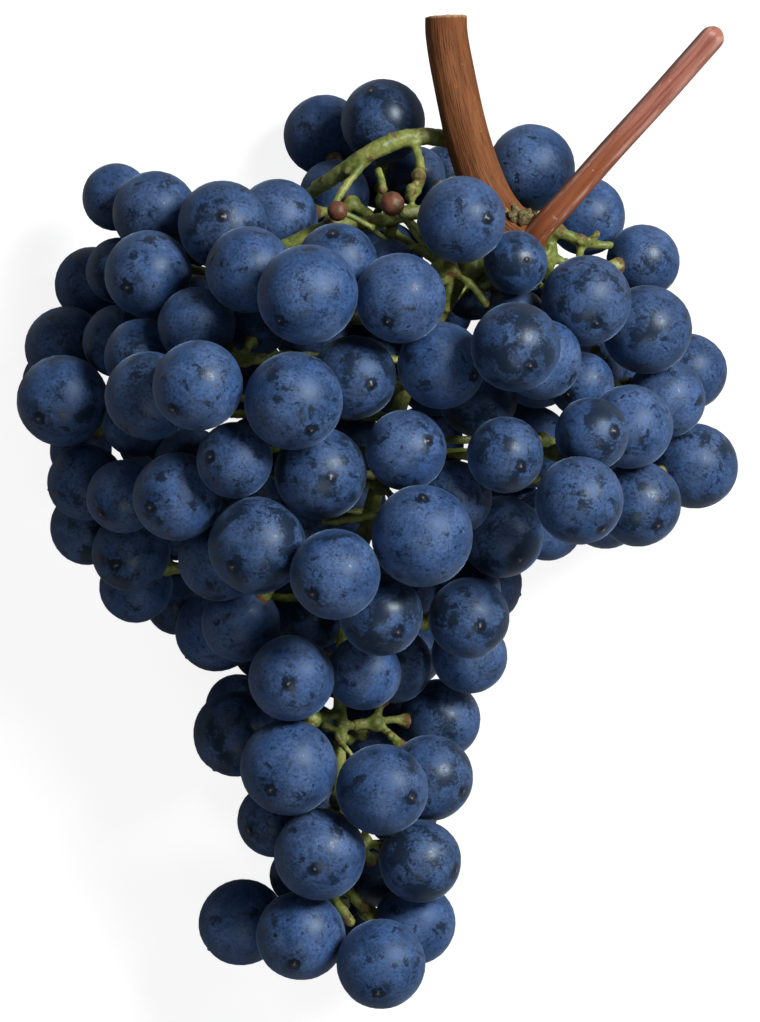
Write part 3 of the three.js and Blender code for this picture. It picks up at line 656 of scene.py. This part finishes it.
def place_berry(bm, centre, radius, scar, dice):
    """Adds one berry to a sprig's bmesh and writes what the skin needs to know."""
    start = len(bm.verts)
    bm.from_mesh(spun_berry)
    bm.verts.ensure_lookup_table()
    from_scar_layer = bm.verts.layers.float["from_scar"]
    contact_rub_and_shade_layer = bm.verts.layers.float["contact_rub_and_shade"]
    tone_layer = bm.verts.layers.float["tone"]
    turn = scar.to_track_quat("Z", "Y")
    planes = neighbours_of(centre, radius)
    seed = Vector([dice.uniform(0, 50) for _ in range(3)])
    stretch = 1 + dice.uniform(-0.02, 0.03)
    berry_tone = dice.random()
    for vert in bm.verts[start:]:
        direction = vert.co.copy()
        angle = direction.angle(Vector((0, 0, 1)))
        direction.z *= stretch
        direction *= 1 + LUMP * noise.noise(direction * 1.2 + seed)
        point = turn @ (direction * (radius + SWELL))
        rub_and_shade_amount = 0.0
        for towards, plane in planes:
            beyond = point.dot(towards) - plane
            rub_and_shade_amount = max(rub_and_shade_amount, 1 + beyond / RUB_AND_SHADE_FADE)
            if beyond > 0:
                point -= towards * beyond
        vert.co = point + centre
        vert.co.z = max(vert.co.z, ABOVE_FLOOR)
        vert[from_scar_layer] = angle * radius / MM
        # The contact mask thins the bloom where berries meet: partly real rubbing, partly painted
        # shade.
        vert[contact_rub_and_shade_layer] = min(1.0, max(0.0, rub_and_shade_amount)) ** 2
        vert[tone_layer] = berry_tone


print("a berry swells by", SWELL / MM, "mm")

# %% [markdown]
# ## Stems
#
# All stems are made one way: a round face is extruded along a path, ring by ring, and each ring
# is turned and scaled by one matrix. The helper also notes where every point would be on the
# straight stem, which the bark needs. Stems that grow out of each other are then fused: a voxel
# remesh melts the overlapping tubes into one skin and a few passes of smoothing round the forks,
# which no boolean does as softly.

# %% Sweep and fuse
def ring_frames(points, up):
    """A matrix at each point, whose Z looks along the path and whose X looks up."""
    frames = []
    for i, point in enumerate(points):
        ahead = (points[min(i + 1, len(points) - 1)] - points[max(i - 1, 0)]).normalized()
        across = ahead.cross(up).normalized()
        towards = across.cross(ahead)
        turn = Matrix((towards, ahead.cross(towards), ahead)).transposed().to_4x4()
        frames.append(Matrix.Translation(point) @ turn)
    return frames


def sweep(bm, points, radii, sides, up=Vector((0, 0, 1))):
    """A closed stem along the points; returns its new vertices."""
    start = len(bm.verts)
    straight = bm.verts.layers.float_vector["straight"]
    frames = ring_frames(points, up)
    ring = bmesh.ops.create_circle(bm, cap_ends=True, segments=sides, radius=radii[0],
                                   matrix=frames[0])["verts"]
    for vert in ring:
        vert[straight] = frames[0].inverted() @ vert.co
    end = ring[0].link_faces[0]
    length = 0.0
    for i in range(1, len(points)):
        length += (points[i] - points[i - 1]).length
        grown = bmesh.ops.extrude_face_region(bm, geom=[end])["geom"]
        # The old face stays: the first one closes the stem, every later one is inside it.
        if i > 1:
            bmesh.ops.delete(bm, geom=[end], context="FACES_ONLY")
        end = [part for part in grown if isinstance(part, bmesh.types.BMFace)][0]
        resize = Matrix.Scale(radii[i] / radii[i - 1], 4)
        move = frames[i] @ resize @ frames[i - 1].inverted()
        bmesh.ops.transform(bm, matrix=move, verts=list(end.verts))
        for vert in end.verts:
            vert[straight] = frames[i].inverted() @ vert.co + Vector((0, 0, length))
    bm.verts.ensure_lookup_table()
    return bm.verts[start:]


def curve_points(corners, steps):
    """Points along a smooth curve through the corners (a Catmull-Rom spline)."""
    padded = [2 * corners[0] - corners[1], *corners, 2 * corners[-1] - corners[-2]]
    points = []
    for a, b, c, d in zip(padded, padded[1:], padded[2:], padded[3:]):
        for step in range(steps):
            t = step / steps
            points.append(0.5 * (2 * b + (c - a) * t + (2 * a - 5 * b + 4 * c - d) * t ** 2
                                 + (3 * b - a - 3 * c + d) * t ** 3))
    return points + [corners[-1]]


def new_bmesh():
    """An empty bmesh with every attribute that the materials read."""
    bm = bmesh.new()
    for name in ("from_scar", "contact_rub_and_shade", "tone", "corky"):
        bm.verts.layers.float.new(name)
    bm.verts.layers.float_vector.new("straight")
    return bm


def fused(bm, voxel, passes):
    """The bmesh's overlapping shells melted into one smooth skin, as a new bmesh."""
    mesh = bpy.data.meshes.new("loose_stems")
    bmesh.ops.recalc_face_normals(bm, faces=bm.faces)
    bm.to_mesh(mesh)
    bm.free()
    holder = bpy.data.objects.new("loose_stems", mesh)
    scene.collection.objects.link(holder)
    remesh = holder.modifiers.new("remesh", "REMESH")
    remesh.mode = "VOXEL"
    remesh.voxel_size = voxel
    ready = holder.evaluated_get(bpy.context.evaluated_depsgraph_get())
    melted = bpy.data.meshes.new_from_object(ready)
    bpy.data.objects.remove(holder)
    skin = new_bmesh()
    skin.from_mesh(melted)
    bpy.data.meshes.remove(melted)
    bpy.data.meshes.remove(mesh)
    for _ in range(passes):
        bmesh.ops.smooth_vert(skin, verts=skin.verts, factor=0.5, use_axis_x=True,
                              use_axis_y=True, use_axis_z=True)
    return skin


def finish_piece(bm, name, materials, replaced):
    """Turns a bmesh into a smooth-shaded piece that rides on the frame."""
    mesh = bpy.data.meshes.new(name)
    bm.to_mesh(mesh)
    bm.free()
    for material in materials:
        mesh.materials.append(material)
    mesh.polygons.foreach_set("use_smooth", [True] * len(mesh.polygons))
    piece = bpy.data.objects.new(name, mesh)
    scene.collection.objects.link(piece)
    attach(piece, "root")
    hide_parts(*replaced)
    return piece


print("stem tools ready")

# %% [markdown]
# ## The sprigs
#
# Each sprig is a knot with a stalk to each berry, and a short joint ties it to its side stem. A
# stalk is thin in the middle and swells into a warty seat where it enters the berry. The stalks
# and the joint of one sprig are fused with its knot, then the berries are placed on them.

# %% Build the sprigs
STALK_PROFILE = [(0.0, 1.0), (0.2, 0.86), (0.45, 0.78), (0.65, 0.86), (0.8, 1.2), (0.9, 1.6),
                 (1.0, 1.75)]  # share of the way, radius in mm
STALK_SIDES = 10
STALK_VOXEL = 0.32 * MM
KNOT_RADIUS = 1.9 * MM
SEAT_LENGTH = 2.4 * MM
SHORTEST_STALK = 0.5 * MM
WART_SIZE = 0.9 * MM
WART_HEIGHT = 0.14 * MM
JOINT_RADIUS = 1.15 * MM
JOINT_DEPTH = 1.2 * MM  # how deep the joint runs into the side stem
END_SPREAD = 1.6 * MM  # corners this near the nearest one belong to the side stem's end

stem = merged_copy("rachis")
stem_corners = [vert.co.copy() for vert in stem.verts]
stem.free()


def stalk_points(knot, centre, radius, dice):
    """From the knot to the berry's surface, with a little bend."""
    inwards = (knot - centre).normalized()
    seat = centre + inwards * (radius - 0.5 * MM)
    aside = inwards.cross(Vector((dice.uniform(-1, 1), dice.uniform(-1, 1), 1))).normalized()
    bend = aside * min(0.6 * MM, 0.06 * (seat - knot).length)
    return [knot.lerp(seat, t) + bend * math.sin(math.pi * t) for t, _ in STALK_PROFILE]


def joint_points(knot):
    """From the knot into the end of its side stem, which stops a short way before it."""
    nearest = min(stem_corners, key=lambda corner: (corner - knot).length)
    end = [corner for corner in stem_corners if (corner - nearest).length < END_SPREAD]
    middle = sum(end, Vector()) / len(end)
    return [knot, knot.lerp(middle, 0.6), middle + (middle - knot).normalized() * JOINT_DEPTH]


def build_sprig(name, sprig, seed):
    """One finished sprig: its knot, joint and stalks fused, and its berries."""
    dice = random.Random(seed)
    bm = new_bmesh()
    sweep(bm, joint_points(sprig["knot"]), [JOINT_RADIUS] * 3, STALK_SIDES)
    for centre, radius in sprig["berries"]:
        radii = [r * MM * dice.uniform(0.94, 1.06) for _, r in STALK_PROFILE]
        points = stalk_points(sprig["knot"], centre, radius, dice)
        if (points[-1] - points[0]).length > SHORTEST_STALK:
            sweep(bm, points, radii, STALK_SIDES)
    bmesh.ops.create_icosphere(bm, subdivisions=2, radius=KNOT_RADIUS,
                               matrix=Matrix.Translation(sprig["knot"]))
    bm = fused(bm, STALK_VOXEL, 2)
    corky_layer = bm.verts.layers.float["corky"]
    for vert in bm.verts:
        wart = noise.noise(vert.co / WART_SIZE)
        near = max(1 - ((vert.co - centre).length - radius) / SEAT_LENGTH
                   for centre, radius in sprig["berries"])
        vert[corky_layer] = min(1.0, max(0.25 + 0.3 * wart, near))
        vert.co += vert.normal * WART_HEIGHT * wart
    for face in bm.faces:
        face.material_index = 1
    for centre, radius in sprig["berries"]:
        scar = scar_direction(centre, radius, sprig["knot"], dice)
        place_berry(bm, centre, radius, scar, dice)
    return finish_piece(bm, name.replace("sprig_", "berries_"),
                        [berry_skin, green_stem], [name])


sprig_pieces = [build_sprig(name, sprig, seed)
                for seed, (name, sprig) in enumerate(sprigs.items())]
print(len(sprig_pieces), "sprigs, faces", sum(len(p.data.polygons) for p in sprig_pieces))

# %% [markdown]
# ## The main stem
#
# The frame's main stem gives the course of every branch. It is copied, joined by the small
# twigs, knots and stubs that are too fine for the frame, and melted into one piece. Cork grows
# at the forks, so each listed knot also marks the skin around it.

# %% Build the main stem
RACHIS_VOXEL = 0.36 * MM
TWIG_SIDES = 8
STEM_WART = 0.12
STEM_LUMP = 0.15
# Small twigs: points, radius at the first and at the last, all in mm.
TWIGS = [
    ([(20, 65, 32.5), (16.5, 70, 33.5), (11, 71.6, 34.5), (5, 71.4, 36)], 1.7, 1.75),
    ([(5, 71.4, 36), (-1, 68.9, 37), (-7, 65, 34), (-12, 62, 28.5)], 1.75, 1.4),
    ([(0, 65.5, 38), (0.6, 63.3, 39.5), (1.0, 61.5, 41)], 0.85, 0.9),
    ([(3.5, 57, 41.5), (2.6, 54.3, 40), (1.8, 51.5, 38)], 1.25, 1.2),
    ([(-2, 54.5, 43), (1, 52.2, 43.5), (4, 50.3, 44), (7.5, 50.3, 44)], 0.75, 0.8),
    ([(7.5, 50.5, 43.5), (10.5, 48.6, 44), (13, 46.6, 44.5), (14.2, 45.6, 45)], 1.2, 1.5),
    ([(14.2, 46.2, 45), (14.0, 48, 46), (13.6, 49.4, 46.5)], 1.1, 0.7),
    ([(14.2, 45.4, 45), (12.8, 44.4, 46), (11.5, 43.6, 47)], 1.1, 1.2),
    ([(14, 45, 45), (13.4, 42.5, 44), (13, 40, 43), (12.7, 38.4, 42)], 1.1, 0.9),
    ([(14.6, 45.2, 45.5), (17, 43.8, 47), (19.2, 41.6, 47), (20.6, 39.4, 46)], 0.7, 1.1),
    ([(19.5, 42.6, 46.5), (21.5, 43.4, 47.5), (23.5, 44.4, 48)], 0.7, 0.6),
    ([(17.6, 43.6, 46.8), (16.4, 42.2, 47.6), (15.2, 40.2, 47.5)], 0.45, 0.3),
    ([(33, 52.6, 39), (33.6, 50, 38.5), (33.4, 47.5, 38)], 0.9, 0.9),
    ([(38.5, 51.4, 38), (38.7, 49.8, 38.2), (38.3, 48.3, 38)], 0.9, 0.8),
    ([(40.5, 51.4, 38), (41.4, 52.6, 38.6), (42, 53.2, 38.8)], 0.9, 0.6),
    ([(-26.5, 34, 40), (-24.8, 32.6, 41), (-23, 31.4, 41)], 1.1, 1.0),
    ([(-20.5, 34.5, 40), (-21.8, 31.6, 41), (-23.5, 30.4, 41.5), (-28, 29.6, 41)], 1.1, 1.2),
    ([(-11, -2, 42), (-5.5, -1.6, 42), (0, -0.4, 43)], 0.8, 0.8),
    ([(-7.6, -42, 29), (-9.4, -41.2, 33), (-10.8, -40.8, 34)], 0.8, 0.7),
    ([(-7.4, -44, 29), (-5.8, -45.6, 32), (-4.6, -47.2, 32)], 0.7, 0.6),
    ([(-8, -54, 27), (-8.6, -55.6, 32), (-7.4, -57.4, 32)], 1.0, 0.9),
    ([(-9, -72.8, 24), (-7.4, -75.6, 27), (-5.5, -78.2, 28)], 0.9, 1.3),
    ([(-6.5, -72, 24), (-4.6, -73.8, 27), (-2.6, -75.6, 28)], 0.9, 1.4),
]
# Corky knots on the stems: centre and radius in mm.
KNOTS = [
    (7.6, 72.2, 35.8, 0.9), (6.6, 70.2, 36, 0.8), (2.4, 71.6, 37, 0.9), (-1.4, 67.6, 37.4, 0.9),
    (-6, 64.8, 36.4, 0.9), (-10.6, 63.0, 31, 0.9), (0.9, 61.3, 41, 1.0), (7.8, 64.2, 40.4, 1.6),
    (6.4, 61.4, 41.2, 1.3), (3.2, 57, 43.2, 1.4), (-2.6, 55, 44, 1.3), (-9.2, 55.4, 43.6, 1.3),
    (14.2, 45.8, 45.4, 1.6), (34.4, 53.6, 39.6, 1.5), (38.8, 51.8, 39, 1.3),
    (31.4, 53.2, 39.8, 1.6), (41.8, 53, 38.8, 0.8), (20.4, 39.6, 46.2, 1.0), (13, 38.4, 42, 1.0),
    (-23, 31.2, 41.2, 1.3), (-9.6, -41.2, 32.0, 0.8), (-7.6, -43.4, 30, 0.9),
    (2.4, -43, 29.6, 1.1), (-5.4, -78.4, 28, 1.3), (-2.4, -75.8, 28, 1.3), (41.6, 31, 30, 1.1),
    (43.4, 28.6, 30, 1.0), (44.6, 26, 31, 1.0), (30.6, 13.6, 40, 1.1), (32.6, 11.4, 40, 1.1),
]
CORK_FADE = 2.0 * MM

bm = new_bmesh()
copied = merged_copy("rachis")
copied_mesh = bpy.data.meshes.new("frame_stem")
copied.to_mesh(copied_mesh)
copied.free()
bm.from_mesh(copied_mesh)
bpy.data.meshes.remove(copied_mesh)
for corners, first, last in TWIGS:
    points = curve_points([Vector(corner) * MM for corner in corners], 3)
    radii = [(first + (last - first) * i / (len(points) - 1)) * MM for i in range(len(points))]
    sweep(bm, points, radii, TWIG_SIDES)
for x, y, z, radius in KNOTS:
    bmesh.ops.create_icosphere(bm, subdivisions=2, radius=radius * MM,
                               matrix=Matrix.Translation(Vector((x, y, z)) * MM))
bm = fused(bm, RACHIS_VOXEL, 6)
corky_layer = bm.verts.layers.float["corky"]
skin = np.array([v.co for v in bm.verts])
nearest = np.full(len(skin), 1.0)
for x, y, z, radius in KNOTS:
    gap = np.linalg.norm(skin - np.array((x, y, z)) * MM, axis=1) - radius * MM
    nearest = np.minimum(nearest, gap)
for vert, gap in zip(bm.verts, nearest):
    wart = noise.noise(vert.co / (1.0 * MM))
    broad = noise.noise(vert.co / (3.0 * MM))
    vert[corky_layer] = min(1.0, max(0.16 + 0.25 * broad, 0.6 - 0.6 * gap / CORK_FADE))
    vert.co += vert.normal * MM * (STEM_WART * wart + STEM_LUMP * broad)
main_stem = finish_piece(bm, "main_stem", [green_stem], ["rachis"])
print("main stem faces", len(main_stem.data.polygons))

# %% [markdown]
# ## The cane
#
# A short piece of last year's shoot, cut square at its upper end. It is swept along its gentle
# bend with many sides, and fine ridges are raised by noise that is stretched along its length.

# %% Build the cane
CANE_CORNERS = [(13, 94.5, 38), (13.3, 90, 38.2), (15.1, 80, 38.8), (17.4, 70, 39.4),
                (20.6, 61, 40), (24, 55.6, 40), (27.4, 53, 39.5)]
CANE_CUT_RADIUS = 3.95 * MM
CANE_NODE_RADIUS = 4.6 * MM
CANE_SIDES = 56
CUT_CHAMFER = 0.35 * MM
CUT_RINGS = (0.35 * MM, 0.5 * MM, 1.6 * MM)  # insets that give the cut face corners of its own
CUT_ZONE = 0.5 * MM
RIDGE = 0.16 * MM
KNOB = 0.08 * MM

bm = new_bmesh()
points = curve_points([Vector(corner) * MM for corner in CANE_CORNERS], 8)
points.insert(1, points[0].lerp(points[1], 0.3))
radii = [CANE_CUT_RADIUS + (CANE_NODE_RADIUS - CANE_CUT_RADIUS) * i / (len(points) - 1)
         for i in range(len(points))]
radii[0] -= CUT_CHAMFER
sweep(bm, points, radii, CANE_SIDES)
bm.faces.ensure_lookup_table()
cut_face = max((f for f in bm.faces if len(f.verts) > 4), key=lambda f: f.calc_center_median().y)
for inset in CUT_RINGS:
    bmesh.ops.inset_region(bm, faces=[cut_face], thickness=inset, depth=0.0)
straight = bm.verts.layers.float_vector["straight"]
unbend = ring_frames(points, Vector((0, 0, 1)))[0].inverted()
for vert in bm.verts:
    if vert.co.y > points[0].y - CUT_ZONE:
        vert[straight] = unbend @ vert.co
bmesh.ops.recalc_face_normals(bm, faces=bm.faces)
bm.normal_update()
for vert in bm.verts:
    place = vert[straight]
    ridge = noise.noise(Vector((place.x, place.y, place.z * 0.05)) / (0.8 * MM))
    knob = noise.noise(Vector((place.x, place.y, place.z * 0.4)) / (4.0 * MM))
    vert.co += vert.normal * (RIDGE * ridge + KNOB * knob)
for face in bm.faces:
    if face.calc_center_median().y > points[0].y - 0.3 * MM and abs(face.normal.y) > 0.7:
        face.material_index = 1
cane = finish_piece(bm, "cane_piece", [cane_bark, cut_wood], ["cane"])
print("cane faces", len(cane.data.polygons))

# %% [markdown]
# ## The leaf stalk
#
# The stalk swells at its foot, has a shallow groove along its upper side and ends rounded.
# Its section starts as a circle; the groove is pressed in afterwards by moving the points whose
# place on the straight stalk is on the upper side.

# %% Build the leaf stalk
LEAF_STALK_CORNERS = [(29, 51.5, 41.5), (31.6, 54.6, 44), (36.4, 59.8, 46), (45, 69.4, 48.5),
                      (55, 80.4, 50.5), (63.4, 89.9, 52)]
LEAF_STALK_RADIUS = 2.35 * MM
LEAF_STALK_FOOT = 3.2 * MM
LEAF_STALK_SIDES = 32
FOOT_SHARE = 0.2  # the part of the length that the swollen foot takes up
ROUND_END = (0.35, 0.65, 0.85, 0.96, 1.0)  # places along the rounded end, as shares of a radius
GROOVE = 0.55 * MM
GROOVE_HALF_WIDTH = 1.4 * MM
GROOVE_START = 6 * MM
GROOVE_FADE = 8 * MM
STALK_FIBRE = 0.1

bm = new_bmesh()
points = curve_points([Vector(corner) * MM for corner in LEAF_STALK_CORNERS], 8)
radii = []
for i in range(len(points)):
    share = i / (len(points) - 1)
    foot = max(0.0, 1 - share / FOOT_SHARE) ** 2
    radii.append(LEAF_STALK_RADIUS + (LEAF_STALK_FOOT - LEAF_STALK_RADIUS) * foot)
stalk_end = points[-1]
heading = (stalk_end - points[-2]).normalized()
for share in ROUND_END:
    points.append(stalk_end + heading * LEAF_STALK_RADIUS * share)
    radii.append(LEAF_STALK_RADIUS * max(0.12, math.sqrt(1 - share ** 2)))
sweep(bm, points, radii, LEAF_STALK_SIDES)
bmesh.ops.recalc_face_normals(bm, faces=bm.faces)
bm.normal_update()
straight = bm.verts.layers.float_vector["straight"]
for vert in bm.verts:
    place = vert[straight]
    fade = min(1.0, max(0.0, (place.z - GROOVE_START) / GROOVE_FADE))
    middle = max(0.0, 1 - (place.y / GROOVE_HALF_WIDTH) ** 2)
    if place.x > 0:
        vert.co -= vert.normal * GROOVE * fade * middle
    fibre = noise.noise(Vector((place.x, place.y, place.z * 0.06)) / (0.9 * MM))
    vert.co += vert.normal * STALK_FIBRE * MM * fibre
leaf_stalk = finish_piece(bm, "leaf_stalk_piece", [leaf_stalk_skin],
                          ["leaf_stalk"])
print("leaf stalk faces", len(leaf_stalk.data.polygons))

# %% [markdown]
# ## Buds and shot berries
#
# The bud in the angle of the stalk is a tuft of dry, pointed scales: each is a short round
# sweep that ends in a tip. The two shot berries are the spun berry again, small and wrinkled,
# each on its own thin stalk.

# %% Build the buds
# Each scale: foot, middle, tip and widest radius, in mm.
BUD_SCALES = [
    ((26.6, 54.6, 42.6), (26.4, 57.0, 43.6), (25.2, 59.4, 44.4), 1.3),
    ((25.2, 55.2, 42.6), (24.2, 57.2, 43.6), (23.6, 58.8, 44.6), 1.2),
    ((28.0, 54.8, 43.2), (28.4, 56.8, 44.4), (29.6, 58.4, 45.0), 1.1),
    ((27.2, 54.4, 43.8), (27.4, 56.4, 44.8), (27.8, 58.6, 45.4), 0.9),
    ((26.0, 54.8, 43.6), (25.4, 56.4, 44.8), (24.2, 57.6, 45.2), 0.8),
    ((27.6, 55.4, 43.4), (28.8, 56.2, 44.6), (30.2, 56.6, 44.8), 0.8),
]
SCALE_PROFILE = [0.55, 0.85, 1.0, 0.9, 0.6, 0.12, 0.08]  # shares of the widest radius
BUD_VOXEL = 0.25 * MM
BUD_CRINKLE = 0.18

bm = new_bmesh()
for foot, middle, point_of_scale, widest in BUD_SCALES:
    corners = [Vector(corner) * MM for corner in (foot, middle, point_of_scale)]
    sweep(bm, curve_points(corners, 3), [widest * share * MM for share in SCALE_PROFILE], 8)
bm = fused(bm, BUD_VOXEL, 1)
for vert in bm.verts:
    vert.co += vert.normal * BUD_CRINKLE * MM * noise.noise(vert.co / (0.8 * MM))
buds = finish_piece(bm, "bud_tuft", [bud_scale], ["buds"])
print("bud faces", len(buds.data.polygons))

# %% Build the shot berries
# Middle, radius, the end of its stalk at the berry, and the stalk's foot, all in mm.
SHOT_BERRIES = {
    "shot_berry_left": ((-7.7, 57.1, 48.5), 1.95, (-5.2, 56.2, 47.8), (-0.9, 53.9, 46.2)),
    "shot_berry_right": ((2.7, 58.5, 48.5), 2.35, (4.4, 56.6, 47.6), (9.0, 50.2, 43.8)),
}
WRINKLE = 0.05


def build_shot_berry(node, centre, radius, joint, foot):
    """One shot berry on its stalk, which widens towards the berry."""
    bm = new_bmesh()
    middle = Vector(centre) * MM
    points = curve_points([Vector(foot) * MM, Vector(joint) * MM, middle], 6)
    radii = [MM * (0.8 if i == 0 else 0.52 + 0.35 * (i / 12) ** 4) for i in range(len(points))]
    sweep(bm, points, radii, 10)
    bm.faces.ensure_lookup_table()
    for face in bm.faces:
        face.material_index = 1
    start = len(bm.verts)
    bm.from_mesh(spun_berry)
    bm.verts.ensure_lookup_table()
    away = (middle - Vector(joint) * MM).normalized()
    turn = away.to_track_quat("Z", "Y")
    for vert in bm.verts[start:]:
        direction = vert.co * (1 + WRINKLE * noise.noise(vert.co * 2.6 + middle / MM))
        vert.co = turn @ (direction * radius * MM) + middle
    return finish_piece(bm, node + "_ripe", [shot_berry_skin, green_stem],
                        [node])


shot_pieces = [build_shot_berry(node, *facts) for node, facts in SHOT_BERRIES.items()]
print("shot berries", [p.name for p in shot_pieces])

# %% [markdown]
# ## Floor
#
# A plain pale floor, wide enough to fill every view. To the camera it is almost white, with a
# faint shadow; to the light that bounces between surfaces it is grey, so that it doesn't light
# the bunch from below.

# %% Floor
FLOOR_HALF = 4.0
FLOOR_SEEN = 0.2  # what the camera sees takes its shadow from this share
FLOOR_GLOW = 0.88  # and its white from this one
FLOOR_BOUNCE = 0.25  # the grey that bounces light onto the bunch

bm = bmesh.new()
bmesh.ops.create_grid(bm, x_segments=1, y_segments=1, size=FLOOR_HALF)
floor_mesh = bpy.data.meshes.new("floor")
bm.to_mesh(floor_mesh)
bm.free()
floor = bpy.data.objects.new("floor", floor_mesh)
scene.collection.objects.link(floor)
floor_finish, tree, shader = new_material("floor_finish")
fill(tree, shader, {
    "Base Color": colour(FLOOR_SEEN, FLOOR_SEEN, FLOOR_SEEN),
    "Roughness": 0.9,
    "Emission Color": colour(1, 1, 1),
    "Emission Strength": FLOOR_GLOW,
})
dim = add(tree, "BsdfDiffuse", {"Color": colour(FLOOR_BOUNCE, FLOOR_BOUNCE, FLOOR_BOUNCE)})
path = add(tree, "LightPath")
either = add(tree, "MixShader", {0: path.outputs["Is Camera Ray"], 1: dim.outputs[0],
                                 2: shader.outputs[0]})
tree.links.new(either.outputs[0], tree.nodes["Material Output"].inputs["Surface"])
floor_mesh.materials.append(floor_finish)
print("floor", 2 * FLOOR_HALF, "m wide")
